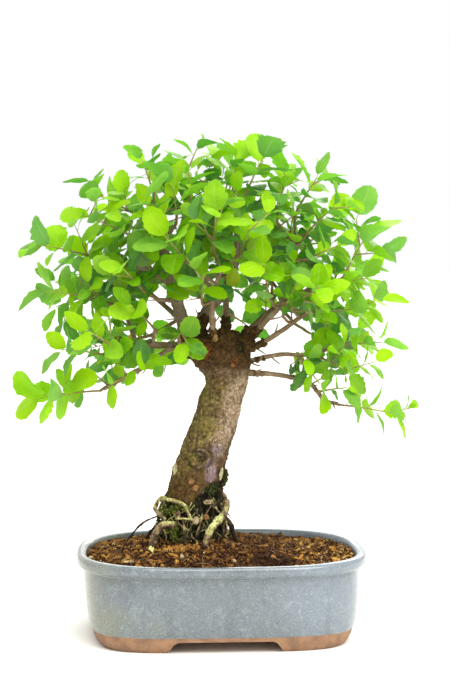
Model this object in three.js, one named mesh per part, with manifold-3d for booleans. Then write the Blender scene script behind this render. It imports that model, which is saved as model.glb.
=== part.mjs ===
// A potted evergreen oak bonsai: a glazed stoneware pot on four feet, a mesh screen over each
// drainage hole, a mound of soil, a thick leaning trunk on spreading surface roots, and a wide
// crown of leafy shoots. Millimetres, +Z up. While it is built, the pot's centre on the ground
// is the origin, +X is the viewer's right and -Y is towards the viewer.

import * as THREE from "three";
import { mergeVertices } from "three/addons/utils/BufferGeometryUtils.js";
import Module from "manifold-3d";

const wasm = await Module();
wasm.setup();

// Driving dimensions of the pot
const POT_LENGTH = 284;
const POT_DEPTH = 208;
const POT_HEIGHT = 83;
const PLAN_POWER = 2.9; // of the lip's plan: 2 is an ellipse, larger is squarer
const FOOT_POWER = 4.6; // of the plan at the ground
const END_TAPER = 5; // how much further in each end stands at the ground
const WALL_TOP = 72; // the plan eases from the foot's to the lip's up to this height
const POT_SIDES = 28;
const FOOT_HEIGHT = 11;
const FOOT_RING = 9; // width of the ring of clay that the feet are cut from
const FRONT_CUT = 112; // gap between the feet on the long sides, at the ground
const SIDE_CUT = 68; // gap between the feet on the short sides, at the ground
const CUT_SLANT = 9; // how far each end of a gap leans in towards its top
const FLOOR_TOP = 20;
const DRAIN_RADIUS = 10;
const DRAIN_X = 60;

// How far the outside of the pot stands inside its greatest outline, from the ground up
const POT_OUTSIDE = [
  [0, 17], [4, 14.5], [15, 10.5], [30, 8], [70, 6.2], [72.5, 1], [77, 0], [82, 1], [83, 3],
];
// The same for the inside, from the lip down to the floor
const POT_INSIDE = [[83, 8], [80.5, 10.5], [40, 12.5], [FLOOR_TOP, 20]];

// Driving dimensions of the soil and the screens
const CLEARANCE = 0.35; // between touching pieces
const SOIL_EDGE = 76.5; // height of the soil where it meets the pot
const MOUND_RISE = 19; // of the soil round the trunk
const MOUND_SPREAD = 60;
const SOIL_INSET = 11.5; // of the soil's edge from the pot's greatest outline
const SOIL_RINGS = 4;
const SCREEN_SIZE = 34;
const SCREEN_THICKNESS = 1;
const SCREEN_HOLES = 3; // along each side
const SCREEN_BAR = 2.5;

// Rings of the trunk: height, centre x, centre y, half width, half depth
const TRUNK = [
  [52, -28, 0, 28, 26], [78, -28, 0, 33, 30], [98, -28, -1, 34, 32], [112, -28, -2, 33.5, 31],
  [126, -27, -3, 32, 29.5], [139, -24.5, -3, 28, 27], [154, -22.4, -3, 26, 25.4], [165, -21, -2, 25, 24],
  [176, -16.5, -2, 23.6, 23.4], [188, -12.9, -1, 23.6, 22.6], [202, -7.2, 0, 22.8, 22], [219, -2.4, 0, 21.4, 21],
  [233, 0.8, 0, 21.4, 21], [242, 5, 0, 20, 20], [252, 6.2, 0, 20.8, 20.6], [264, 3, 0, 24.6, 24],
  [276, 3, 0, 26.5, 25], [287, 4, 0, 23, 22], [294, 5, 0, 15, 14], [297, 5, 0, 6, 6],
];
const TRUNK_SIDES = 12;
const TRUNK_STEPS = 14;
const HEAD = new THREE.Vector3(4, 0, 272); // middle of the knobby head that the limbs leave

// Knobs and balls of callus: centre, then half size along x, y and z
const KNOBS = [
  [[-14, -8, 281], [15, 13, 12]], [[21, -5, 283], [13, 13, 11]], [[3, -11, 290], [12, 10, 9]],
  [[-17, -10, 268], [10, 9, 8]], [[21, -13, 268], [8, 8, 8]], [[2, 15, 284], [16, 12, 12]],
  [[-21, -22.5, 175], [9.5, 4.5, 9]], [[-26, -29, 146], [3.3, 3.3, 3.3]], [[-30, -28, 152], [2.6, 2.6, 3]],
  [[-16, -31, 118], [3, 3, 3]], [[-26, -33, 115], [4, 3.4, 3.6]], [[-14, -27, 132], [4.5, 3.6, 2.6]],
];
// The torn hollow low on the trunk's right
const HOLLOW = [[-5, -29, 136], [11, 8, 19]];
const HOLLOW_LEAN = 0.42;

// Surface roots: first radius, last radius, then the points that each passes through
const ROOTS = [
  [2.3, 2, [[-49, -6, 124], [-59, -10, 131], [-53, -22, 134], [-45, -28, 133], [-37, -31, 130], [-34, -33, 124],
    [-30, -32, 115]]],
  [2.4, 2, [[-48, -8, 132], [-59, -12, 134], [-65, -18, 126], [-62, -24, 121], [-55, -24, 115]]],
  [4.6, 4.5, [[-38, -18, 110], [-49, -31, 111], [-56, -35, 112], [-63, -37, 107], [-67, -38, 97], [-69, -39, 87],
    [-70, -39, 74]]],
  [1.6, 1.2, [[-52, -10, 117], [-64, -20, 117], [-74, -26, 114], [-81, -28, 109], [-88, -30, 101], [-96, -31, 90],
    [-103, -31, 74]]],
  [1.7, 1.5, [[-38, -26, 120], [-38, -35, 114], [-37, -38, 106], [-36, -38, 96], [-34, -38, 86], [-33, -38, 74]]],
  [1.7, 1.5, [[-46, -24, 115], [-42, -33, 117], [-33, -36, 117], [-26, -30, 114]]],
  [1.5, 1.3, [[-31, -29, 116], [-31, -37, 109], [-32, -39, 101], [-33, -38, 91], [-32, -38, 78]]],
  [1.4, 1.2, [[-19, -28, 124], [-21, -36, 115], [-24, -38, 106], [-27, -38, 97], [-29, -38, 86], [-30, -38, 75]]],
  [4.2, 4, [[-6, -14, 146], [2, -20, 138], [5, -23, 128], [2, -28, 121], [-5, -32, 114], [-12, -36, 106],
    [-16, -38, 96], [-18, -38, 76]]],
  [2.4, 2.2, [[-6, -18, 146], [-1, -27, 140], [-3, -30, 133], [-10, -24, 127]]],
  [2.6, 2.4, [[-8, -4, 172], [2, -8, 166], [6, -8, 158], [3, -8, 150], [-5, -6, 144]]],
  [2, 1.8, [[-52, 0, 168], [-47, -9, 164], [-49, -10, 156], [-45, -4, 148]]],
  [4.4, 3.6, [[-8, -4, 118], [7, -10, 110], [12, -13, 98], [16, -14, 86], [17, -14, 72]]],
  [4.2, 3.4, [[-40, 20, 118], [-52, 32, 106], [-60, 38, 94], [-64, 40, 76]]],
  [4.2, 3.4, [[-14, 20, 116], [-5, 32, 104], [1, 38, 92], [3, 40, 76]]],
  [4, 3.2, [[-52, 4, 112], [-64, 8, 103], [-72, 10, 92], [-76, 10, 76]]],
];
const ROOT_SIDES = 5;
const ROOT_STEPS = 5;
const SHORT_ROOT_STEPS = 3; // of a root with five points or fewer

// Main limbs: first radius, last radius, then the points that each passes through
const LIMBS = [
  [8.5, 4, [[-8, 0, 264], [-30, -3, 285], [-37, -4, 306], [-43, -6, 327], [-50, -8, 355], [-59, -8, 386],
    [-63, -5, 413]]],
  [6.5, 2.8, [[-4, 4, 274], [-20, 9, 294], [-13, 12, 316], [2, 14, 331], [14, 12, 358], [17, 6, 394], [17, 0, 420]]],
  [3.6, 2, [[-10, -4, 270], [-26, -12, 275], [-50, -22, 279], [-71, -38, 267], [-93, -52, 256], [-113, -62, 246]]],
  [4, 2.2, [[-10, 0, 278], [-28, -6, 283], [-60, -20, 284], [-82, -34, 285], [-100, -44, 284]]],
  [3.2, 2, [[-47, -6, 341], [-67, -6, 355], [-96, -8, 364], [-123, -12, 368]]],
  [3.8, 2, [[8, 0, 276], [29, 0, 291], [44, -6, 307], [57, -12, 322], [64, -18, 348], [74, -18, 382]]],
  [2.6, 1.8, [[56, -11, 320], [75, -14, 333], [98, -14, 341], [114, -12, 345]]],
  [2.8, 1.8, [[10, -2, 274], [32, -10, 281], [60, -20, 299], [82, -28, 315], [100, -32, 318]]],
  [2.4, 1.7, [[8, -4, 262], [27, -12, 268], [57, -24, 275], [79, -32, 275], [104, -34, 281]]],
  [2.8, 1.7, [[2, -2, 256], [21, -14, 257], [55, -22, 255], [83, -30, 248], [98, -36, 232], [111, -38, 228]]],
  [3.4, 1.9, [[0, -4, 278], [-7, -16, 291], [-10, -30, 311], [-9, -45, 336], [-2, -55, 359]]],
  [3.8, 2, [[-6, 8, 278], [-16, 18, 288], [-33, 40, 301], [-54, 62, 320], [-79, 74, 341]]],
  [3.8, 2, [[10, 8, 280], [22, 16, 290], [44, 36, 308], [70, 58, 327], [90, 70, 346]]],
  [3.8, 2, [[4, 6, 282], [6, 16, 296], [8, 36, 326], [11, 56, 364], [15, 62, 399]]],
];
const LIMB_SIDES = 5;
const LIMB_STEPS = 5;

// Leafy shoots: name, where the green shoot starts, how far its leaves reach, how many leaves it
// bears, and the length of a middling leaf
const SHOOTS = [
  ["droop_left_tip", [-117, -62, 244], [-186, -80, 237], 10, 31],
  ["droop_left_mid", [-88, -52, 259], [-114, -78, 247], 7, 28],
  ["left_low_tip", [-113, -48, 277], [-163, -62, 284], 7, 29],
  ["left_low_front", [-107, -70, 287], [-134, -108, 307], 6, 30],
  ["left_side", [-119, -18, 328], [-180, -34, 339], 7, 30],
  ["left_side_back", [-120, 22, 333], [-174, 34, 316], 6, 30],
  ["left_upper", [-133, -14, 372], [-188, -26, 383], 7, 30],
  ["left_shoulder_low", [-94, -30, 393], [-141, -48, 412], 6, 31],
  ["left_shoulder_high", [-88, -8, 413], [-125, -20, 432], 6, 29],
  ["left_crown_front", [-62, -44, 399], [-77, -68, 428], 6, 29],
  ["left_crown_sprig", [-67, 0, 436], [-79, -6, 470], 5, 26],
  ["crown_left", [-44, -30, 410], [-49, -46, 444], 6, 31],
  ["crown_mid_left", [-30, 2, 429], [-32, 6, 466], 6, 27],
  ["crown_mid", [-14, 16, 437], [-6, 24, 477], 5, 24],
  ["crown_front", [-10, -60, 381], [-9, -92, 421], 6, 34],
  ["crown_mid_right", [11, -10, 434], [16, -16, 472], 6, 25],
  ["crown_right", [23, -22, 430], [42, -30, 471], 6, 29],
  ["crown_far_right", [55, -10, 411], [64, -14, 457], 6, 28],
  ["right_crown_sprig", [76, -14, 419], [96, -26, 453], 6, 29],
  ["right_shoulder", [86, -30, 397], [112, -42, 423], 6, 28],
  ["right_tall", [120, -10, 351], [147, -16, 400], 5, 37],
  ["right_upper", [83, -40, 368], [118, -56, 384], 6, 28],
  ["right_side", [113, -18, 343], [148, -26, 350], 5, 29],
  ["right_middle", [100, -32, 315], [139, -42, 321], 6, 31],
  ["right_low", [112, -32, 284], [163, -44, 288], 7, 30],
  ["right_low_front", [96, -38, 272], [124, -56, 256], 5, 26],
  ["droop_right_tip", [113, -38, 227], [180, -48, 216], 8, 21],
  ["droop_right_mid", [94, -46, 241], [122, -68, 247], 5, 22],
  ["right_hanging", [77, -46, 267], [94, -64, 245], 5, 24],
  ["centre_right", [58, -46, 319], [70, -80, 352], 6, 28],
  ["centre_right_high", [41, -60, 338], [32, -98, 370], 6, 31],
  ["front_of_head", [-40, -50, 297], [-34, -92, 286], 5, 32],
  ["front_left_low", [-68, -42, 304], [-92, -76, 328], 6, 29],
  ["centre_front", [-21, -54, 327], [-21, -100, 361], 6, 35],
  ["front_left", [-77, -42, 338], [-101, -80, 365], 6, 30],
  ["front_left_high", [-38, -56, 368], [-59, -92, 391], 6, 31],
  ["front_right_high", [15, -52, 372], [24, -90, 401], 6, 30],
  ["front_right", [69, -66, 329], [89, -106, 341], 6, 28],
  ["back_left_low", [-85, 58, 285], [-139, 92, 273], 6, 29],
  ["back_left", [-97, 72, 333], [-145, 108, 349], 6, 30],
  ["back_left_high", [-77, 58, 388], [-109, 88, 420], 6, 30],
  ["back_crown_left", [-40, 50, 423], [-56, 74, 460], 6, 28],
  ["back_crown", [7, 54, 433], [20, 80, 471], 6, 28],
  ["back_crown_right", [51, 54, 419], [79, 84, 455], 6, 28],
  ["back_right_high", [93, 60, 383], [132, 88, 412], 6, 30],
  ["back_right", [106, 64, 340], [154, 96, 353], 6, 30],
  ["back_right_low", [99, 58, 290], [147, 88, 278], 6, 29],
  ["back_low", [19, 58, 307], [42, 112, 290], 6, 29],
  ["back_middle", [-17, 78, 352], [-27, 132, 370], 6, 31],
  ["back_middle_right", [54, 78, 354], [78, 132, 368], 6, 30],
  ["back_low_left", [-36, 54, 291], [-60, 106, 272], 6, 29],
  ["back_high", [14, 78, 393], [23, 124, 417], 6, 30],
  ["inner_right", [51.8, 15.8, 346.7], [49.5, 12.8, 392.3], 7, 31],
  ["inner_middle", [-16.1, 15.7, 358.3], [-8.3, 16.7, 398.9], 6, 31],
  ["inner_left", [-18.9, 22.1, 328.5], [-35.7, 47.6, 355.4], 7, 31],
];
const SHOOT_SHARE = 0.8; // share of the reach that is stem, the rest is the last leaves
const STEM_RADIUS = 1.15;
const STEM_TIP_RADIUS = 0.7;
const TWIG_TIP_RADIUS = 1.3;
const SHORT_TWIG = 16; // a twig up to this length is straight
const TWIG_MOST_RADIUS = 2.3;

// Leaves
const LEAF_THICKNESS = 0.7;
const LEAF_ROOT = 1.6; // length of stem that a leaf grows out of
const LEAF_HALF_BOX = 2.5; // half the space kept across a blade, for its arch and its waves
const LEAF_GAP = 0.4; // least space between two leaves
const GOLDEN_ANGLE = THREE.MathUtils.degToRad(137.5);
const CANOPY_MIDDLE = new THREE.Vector3(-8, 0, 320);
const LEAF_TRIES = 24;
const LEAST_TWIST = 0.5; // a blade turned further from its stem would pinch its own root
const SEED = 20411;

const SLACK = 0.12; // points that shape a surface by less than this are dropped

// Colours, roughness
const GLAZE = [0x93a0a3, 0.3];
const EARTH = [0x5a3318, 0.95];
const SCREEN = [0x22282a, 0.6];
const BARK = [0x74624a, 0.9];
const FOLIAGE = [0x4f9a22, 0.45];

/** A repeatable stream of numbers from 0 to 1. */
class Draw {
  constructor(seed) {
    this.state = seed;
  }

  next() {
    this.state = (this.state * 16807) % 2147483647;
    return this.state / 2147483647;
  }

  between(low, high) {
    return low + (high - low) * this.next();
  }
}

/** A closed three.js geometry as a solid that can be joined and cut. */
function solidOf(geometry) {
  const bare = geometry.clone();
  bare.deleteAttribute("normal");
  bare.deleteAttribute("uv");
  const merged = mergeVertices(bare, 1e-4);
  const mesh = new wasm.Mesh({
    numProp: 3,
    vertProperties: Float32Array.from(merged.attributes.position.array),
    triVerts: Uint32Array.from(merged.index.array),
  });
  return new wasm.Manifold(mesh);
}

/** The largest single body of a solid, as a three.js geometry. */
function geometryOf(solid) {
  const bodies = solid.decompose();
  bodies.sort((one, other) => other.volume() - one.volume());
  const mesh = bodies[0].simplify(SLACK).getMesh();
  const geometry = new THREE.BufferGeometry();
  geometry.setAttribute("position", new THREE.BufferAttribute(Float32Array.from(mesh.vertProperties), 3));
  geometry.setIndex(new THREE.BufferAttribute(Uint32Array.from(mesh.triVerts), 1));
  geometry.computeVertexNormals();
  return geometry;
}

function join(solids) {
  return wasm.Manifold.union(solids);
}

function vector(point) {
  return new THREE.Vector3(...point);
}

/** Reads column after column of a table of rings at the height z. */
function atHeight(rows, z) {
  const last = rows.length - 1;
  if (z <= rows[0][0]) return rows[0];
  if (z >= rows[last][0]) return rows[last];
  const upper = rows.findIndex((row) => row[0] > z);
  const low = rows[upper - 1];
  const high = rows[upper];
  const share = (z - low[0]) / (high[0] - low[0]);
  return low.map((value, column) => value + (high[column] - value) * share);
}

/** Collects the corners and triangles of one closed surface. */
class Surface {
  constructor() {
    this.corners = [];
    this.triangles = [];
  }

  /** Adds a loop of points and gives back the numbers of its corners. */
  loop(points) {
    return points.map((point) => this.corners.push(point.x, point.y, point.z) / 3 - 1);
  }

  /** Joins two loops of as many corners; the sides listed in turned are split the other way. */
  band(lower, upper, skipped = [], turned = []) {
    lower.forEach((corner, i) => {
      if (skipped.includes(i)) return;
      const next = (i + 1) % lower.length;
      if (turned.includes(i)) {
        this.triangles.push(corner, lower[next], upper[i], lower[next], upper[next], upper[i]);
      } else {
        this.triangles.push(corner, lower[next], upper[next], corner, upper[next], upper[i]);
      }
    });
  }

  /** Closes a flat loop that is seen counter-clockwise from outside. */
  lid(loop) {
    for (let i = 1; i < loop.length - 1; i += 1) {
      this.triangles.push(loop[0], loop[i], loop[i + 1]);
    }
  }

  geometry() {
    const geometry = new THREE.BufferGeometry();
    geometry.setAttribute("position", new THREE.Float32BufferAttribute(this.corners, 3));
    geometry.setIndex(this.triangles);
    geometry.computeVertexNormals();
    return geometry;
  }
}

/** A solid lofted through outlines: each is a list of as many points as the others. */
function loft(outlines) {
  const surface = new Surface();
  const loops = outlines.map((outline) => surface.loop(outline));
  for (let i = 1; i < loops.length; i += 1) surface.band(loops[i - 1], loops[i]);
  surface.lid([...loops[0]].reverse());
  surface.lid(loops[loops.length - 1]);
  return solidOf(surface.geometry());
}

/** The pot's outline in plan, drawn in by an inset, at the height z. */
function planRing(inset, z, scale = 1) {
  const low = Math.max(0, 1 - z / WALL_TOP);
  const power = PLAN_POWER + (FOOT_POWER - PLAN_POWER) * low;
  const points = [];
  for (let i = 0; i < POT_SIDES; i += 1) {
    const angle = (2 * Math.PI * i) / POT_SIDES;
    const x = Math.sign(Math.cos(angle)) * Math.abs(Math.cos(angle)) ** (2 / power);
    const y = Math.sign(Math.sin(angle)) * Math.abs(Math.sin(angle)) ** (2 / power);
    const reachX = (POT_LENGTH / 2 - inset - END_TAPER * low) * scale;
    const reachY = (POT_DEPTH / 2 - inset) * scale;
    points.push(new THREE.Vector3(x * reachX, y * reachY, z));
  }
  return points;
}

/** A bar that narrows towards its top, laid along the y axis. */
function slantedBar(width, top, slant, length) {
  const outline = new THREE.Shape();
  outline.moveTo(-width / 2 - slant * 0.2, -1);
  outline.lineTo(width / 2 + slant * 0.2, -1);
  outline.lineTo(width / 2 - slant, top);
  outline.lineTo(-width / 2 + slant, top);
  outline.closePath();
  const bar = new THREE.ExtrudeGeometry(outline, { depth: length, bevelEnabled: false });
  bar.translate(0, 0, -length / 2);
  bar.rotateX(Math.PI / 2);
  return bar;
}

function buildPot() {
  let pot = loft(POT_OUTSIDE.map(([z, inset]) => planRing(inset, z)));
  const inside = [...POT_INSIDE].reverse().map(([z, inset]) => planRing(inset, z));
  const mouth = planRing(POT_INSIDE[0][1] - 2, POT_HEIGHT + 2);
  pot = pot.subtract(loft([...inside, mouth]));
  const recessInset = POT_OUTSIDE[0][1] + FOOT_RING;
  pot = pot.subtract(loft([planRing(recessInset, -1), planRing(recessInset + 1, FOOT_HEIGHT)]));
  pot = pot.subtract(solidOf(slantedBar(FRONT_CUT, FOOT_HEIGHT, CUT_SLANT, POT_DEPTH * 1.2)));
  const sideCut = slantedBar(SIDE_CUT, FOOT_HEIGHT, CUT_SLANT, POT_LENGTH * 1.2);
  sideCut.rotateZ(Math.PI / 2);
  pot = pot.subtract(solidOf(sideCut));
  for (const side of [-1, 1]) {
    const drain = new THREE.CylinderGeometry(DRAIN_RADIUS, DRAIN_RADIUS, FLOOR_TOP + 4, 16);
    drain.rotateX(Math.PI / 2);
    drain.translate(side * DRAIN_X, 0, FLOOR_TOP / 2);
    pot = pot.subtract(solidOf(drain));
  }
  return geometryOf(pot);
}

/** Height of the soil at a place in the pot. */
function soilHeight(x, y) {
  const away = Math.hypot(x - TRUNK[1][1], y - TRUNK[1][2]);
  const out = Math.abs(x / (POT_LENGTH / 2 - SOIL_INSET)) ** PLAN_POWER
    + Math.abs(y / (POT_DEPTH / 2 - SOIL_INSET)) ** PLAN_POWER; // 1 at the pot
  const ease = 1 - Math.min(out, 1) ** (4 / PLAN_POWER);
  const mound = MOUND_RISE * Math.exp(-((away / MOUND_SPREAD) ** 2) / 2) * ease;
  const lumps = 0.8 * Math.sin(x / 9 + 1) * Math.cos(y / 11) + 0.5 * Math.sin(x / 4.3 - y / 6.1);
  return SOIL_EDGE + mound + lumps;
}

function buildSoil() {
  const levels = [[FLOOR_TOP, 21], [40, 13.6], [SOIL_EDGE - 2, SOIL_INSET]];
  const rings = levels.map(([z, inset], level) => planRing(inset, level === 0 ? z + CLEARANCE : z));
  for (let i = 0; i <= SOIL_RINGS; i += 1) {
    const ring = planRing(SOIL_INSET, WALL_TOP, 1 - (i / (SOIL_RINGS + 0.3)) ** 1.1);
    ring.forEach((point) => point.setZ(soilHeight(point.x, point.y)));
    rings.push(ring);
  }
  let soil = loft(rings);
  for (const side of [-1, 1]) {
    const pocket = SCREEN_SIZE + 2 * CLEARANCE;
    const depth = SCREEN_THICKNESS + 3 * CLEARANCE;
    const space = new THREE.BoxGeometry(pocket, pocket, depth * 2);
    space.translate(side * DRAIN_X, 0, FLOOR_TOP);
    soil = soil.subtract(solidOf(space));
  }
  soil = soil.subtract(join([trunkSolid(CLEARANCE), ...rootSolids(CLEARANCE)]));
  return geometryOf(soil);
}

/** The plastic mesh that keeps the soil in over one drainage hole. */
function buildScreen(side) {
  const plate = new THREE.BoxGeometry(SCREEN_SIZE, SCREEN_SIZE, SCREEN_THICKNESS);
  const pitch = (SCREEN_SIZE - SCREEN_BAR) / SCREEN_HOLES;
  const size = pitch - SCREEN_BAR;
  const first = -SCREEN_SIZE / 2 + SCREEN_BAR + size / 2;
  const holes = [];
  for (let row = 0; row < SCREEN_HOLES; row += 1) {
    for (let column = 0; column < SCREEN_HOLES; column += 1) {
      const hole = new THREE.BoxGeometry(size, size, SCREEN_THICKNESS * 3);
      hole.translate(first + column * pitch, first + row * pitch, 0);
      holes.push(solidOf(hole));
    }
  }
  const screen = geometryOf(solidOf(plate).subtract(join(holes)));
  screen.translate(side * DRAIN_X, 0, FLOOR_TOP + CLEARANCE + SCREEN_THICKNESS / 2);
  return screen;
}

/** A round rod along a curve, with a radius that changes evenly from its first end to its last. */
function rod(curve, firstRadius, lastRadius, sides, steps) {
  const frames = curve.computeFrenetFrames(steps, false);
  const rings = [];
  for (let step = 0; step <= steps; step += 1) {
    const share = step / steps;
    const middle = curve.getPointAt(share);
    const radius = firstRadius + (lastRadius - firstRadius) * share;
    const ring = [];
    for (let i = 0; i < sides; i += 1) {
      const angle = (2 * Math.PI * i) / sides;
      const point = middle.clone();
      point.addScaledVector(frames.normals[step], radius * Math.cos(angle));
      point.addScaledVector(frames.binormals[step], radius * Math.sin(angle));
      ring.push(point);
    }
    rings.push(ring);
  }
  return loft(rings);
}

function smoothCurve(points) {
  return new THREE.CatmullRomCurve3(points.map(vector), false, "catmullrom", 0.5);
}

/** The trunk with its bark's coarse relief, thicker all over by a growth. */
function trunkSolid(growth) {
  const bottom = TRUNK[0][0];
  const top = TRUNK[TRUNK.length - 1][0];
  const rings = [];
  for (let step = 0; step <= TRUNK_STEPS; step += 1) {
    const z = bottom + ((top - bottom) * step) / TRUNK_STEPS;
    const [, x, y, halfWidth, halfDepth] = atHeight(TRUNK, z);
    const ring = [];
    for (let i = 0; i < TRUNK_SIDES; i += 1) {
      const angle = (2 * Math.PI * i) / TRUNK_SIDES;
      const relief = 1 + 0.03 * Math.sin(3 * angle + z / 17) + 0.02 * Math.sin(5 * angle - z / 9);
      ring.push(new THREE.Vector3(
        x + (halfWidth * relief + growth) * Math.cos(angle),
        y + (halfDepth * relief + growth) * Math.sin(angle),
        z,
      ));
    }
    rings.push(ring);
  }
  return loft(rings);
}

function rootSolids(growth) {
  return ROOTS.map(([first, last, points]) => {
    const steps = points.length > 5 ? ROOT_STEPS : SHORT_ROOT_STEPS;
    return rod(smoothCurve(points), first + growth, last + growth, ROOT_SIDES, steps);
  });
}

function ball([centre, halfSizes], lean = 0) {
  const small = Math.max(...halfSizes) < 5;
  const geometry = new THREE.SphereGeometry(1, small ? 5 : 6, small ? 3 : 4);
  geometry.scale(...halfSizes);
  geometry.rotateY(lean);
  geometry.translate(...centre);
  return solidOf(geometry);
}

/** Points at even steps of a limb's own parameter, with the limb's radius there. */
function limbStations(limb, count) {
  const [first, last, points] = limb;
  const curve = smoothCurve(points);
  const stations = [];
  for (let i = 0; i <= count; i += 1) {
    const share = i / count;
    stations.push({ place: curve.getPoint(share), radius: first + (last - first) * share });
  }
  return stations;
}

/** The woody twig that brings a shoot's sap from the limb that lies nearest along the wood. */
function twigOf(shoot, stations) {
  const start = vector(shoot[1]);
  const heading = vector(shoot[2]).sub(start).normalize();
  let best = null;
  let least = Infinity;
  for (const station of stations) {
    const cost = station.place.distanceTo(start) + 0.4 * station.place.distanceTo(HEAD);
    if (cost < least) {
      least = cost;
      best = station;
    }
  }
  const reach = best.place.distanceTo(start);
  const bend = start.clone().addScaledVector(heading, -0.45 * reach);
  return {
    curve: new THREE.QuadraticBezierCurve3(best.place.clone(), bend, start.clone()),
    radius: Math.max(Math.min(best.radius * 0.75, TWIG_MOST_RADIUS), TWIG_TIP_RADIUS),
  };
}

/** The green stem of a shoot, which starts just clear of its twig's end. */
function stemOf(shoot) {
  const start = vector(shoot[1]);
  const reach = vector(shoot[2]).sub(start);
  const length = reach.length() * SHOOT_SHARE;
  const heading = reach.normalize();
  const first = start.clone().addScaledVector(heading, CLEARANCE);
  const last = start.clone().addScaledVector(heading, length);
  const bend = first.clone().lerp(last, 0.5);
  bend.z += length * 0.04;
  return new THREE.QuadraticBezierCurve3(first, bend, last);
}

/** A box in space: its middle, its three unit axes and its half sizes along them. */
function box(middle, axes, halves, owner) {
  return { middle, axes, halves, owner, reach: Math.hypot(...halves) };
}

/** The box round a stretch of wood or stem between two points. */
function boxAlong(first, last, radius, owner) {
  const along = last.clone().sub(first);
  const length = along.length();
  along.normalize();
  const guide = Math.abs(along.z) < 0.9 ? new THREE.Vector3(0, 0, 1) : new THREE.Vector3(1, 0, 0);
  const across = new THREE.Vector3().crossVectors(guide, along).normalize();
  const third = new THREE.Vector3().crossVectors(along, across);
  const middle = first.clone().lerp(last, 0.5);
  return box(middle, [along, across, third], [length / 2 + radius * 0.5, radius, radius], owner);
}

/** True where two boxes come nearer to each other than a gap, by the separating axis test. */
function boxesMeet(one, other, gap) {
  const between = other.middle.clone().sub(one.middle);
  if (between.length() > one.reach + other.reach + gap) return false;
  const apart = (axis) => {
    const size = axis.length();
    if (size < 1e-6) return false;
    let spread = gap * size;
    for (let i = 0; i < 3; i += 1) {
      spread += one.halves[i] * Math.abs(one.axes[i].dot(axis));
      spread += other.halves[i] * Math.abs(other.axes[i].dot(axis));
    }
    return Math.abs(between.dot(axis)) > spread;
  };
  if (one.axes.some(apart) || other.axes.some(apart)) return false;
  for (const mine of one.axes) {
    for (const theirs of other.axes) {
      if (apart(new THREE.Vector3().crossVectors(mine, theirs))) return false;
    }
  }
  return true;
}

/** Everything woody as a list of boxes, for leaves to keep clear of. */
function woodBoxes(twigs) {
  const boxes = [];
  for (const limb of LIMBS) {
    const stations = limbStations(limb, 12);
    for (let i = 0; i < 12; i += 1) {
      const radius = stations[i].radius * 1.08;
      boxes.push(boxAlong(stations[i].place, stations[i + 1].place, radius, "wood"));
    }
  }
  for (const twig of twigs) {
    for (let i = 0; i < 4; i += 1) {
      const first = twig.curve.getPoint(i / 4);
      const last = twig.curve.getPoint((i + 1) / 4);
      boxes.push(boxAlong(first, last, twig.radius, "wood"));
    }
  }
  for (let i = 1; i < TRUNK.length; i += 1) {
    const [lowZ, lowX, lowY] = TRUNK[i - 1];
    const [z, x, y, halfWidth, halfDepth] = TRUNK[i];
    const middle = new THREE.Vector3((x + lowX) / 2, (y + lowY) / 2, (z + lowZ) / 2);
    const axes = [new THREE.Vector3(1, 0, 0), new THREE.Vector3(0, 1, 0), new THREE.Vector3(0, 0, 1)];
    boxes.push(box(middle, axes, [halfWidth * 1.1, halfDepth * 1.1, (z - lowZ) / 2], "wood"));
  }
  for (const [centre, halfSizes] of KNOBS) {
    const axes = [new THREE.Vector3(1, 0, 0), new THREE.Vector3(0, 1, 0), new THREE.Vector3(0, 0, 1)];
    boxes.push(box(vector(centre), axes, halfSizes, "wood"));
  }
  return boxes;
}

/** A stem's direction at a share of its length, with two axes across it. */
function stemFrame(curve, share) {
  const run = curve.v2.clone().sub(curve.v0);
  const steep = Math.abs(run.z) > 0.8 * run.length();
  const guide = steep ? new THREE.Vector3(1, 0, 0) : new THREE.Vector3(0, 0, 1);
  const along = curve.getTangent(share);
  const across = new THREE.Vector3().crossVectors(guide, along).normalize();
  const third = new THREE.Vector3().crossVectors(along, across);
  return { middle: curve.getPoint(share), along, across, third };
}

/** One leaf's stance: where it joins the stem, its axes, its length and its width. */
function leafStance(draw, curve, share, turn, openAngle, length, width) {
  const { middle, along, across, third } = stemFrame(curve, share);
  const out = across.clone().multiplyScalar(Math.cos(turn)).addScaledVector(third, Math.sin(turn));
  const heading = along.clone().multiplyScalar(Math.cos(openAngle)).addScaledVector(out, Math.sin(openAngle));
  const outward = middle.clone().sub(CANOPY_MIDDLE).normalize();
  const face = new THREE.Vector3();
  face.x = draw.between(-0.35, 0.35);
  face.y = draw.between(-0.35, 0.35);
  face.z = draw.between(-0.35, 0.35) + 0.55;
  face.addScaledVector(outward, 0.4).addScaledVector(along, 0.6);
  face.addScaledVector(heading, -face.dot(heading)).normalize();
  const side = new THREE.Vector3().crossVectors(face, heading);
  const level = along.clone().addScaledVector(heading, -along.dot(heading)).normalize();
  const twist = Math.abs(face.dot(level)); // 1 where the face looks up or down the stem
  return { base: middle, level, twist, heading, side, face, length, width, share, turn };
}

/** The space that a stretch of a leaf fills, from one share of its length to another. */
function leafBox(leaf, first, last, halfWidth, halfDepth, owner) {
  const middle = leaf.base.clone().addScaledVector(leaf.heading, (leaf.length * (first + last)) / 2);
  const halves = [(leaf.length * (last - first)) / 2, halfWidth, halfDepth];
  return box(middle, [leaf.heading, leaf.side, leaf.face], halves, owner);
}

/** True where a new leaf would touch a leaf or the stem of its own shoot. */
function crowdsOwnShoot(leaf, other) {
  if (!other.leaf) return boxesMeet(leaf.blade, other, 0.2);
  return [[leaf.blade, other.blade], [leaf.blade, other.neck], [leaf.neck, other.blade]]
    .some(([mine, theirs]) => boxesMeet(mine, theirs, 0.2));
}

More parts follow.
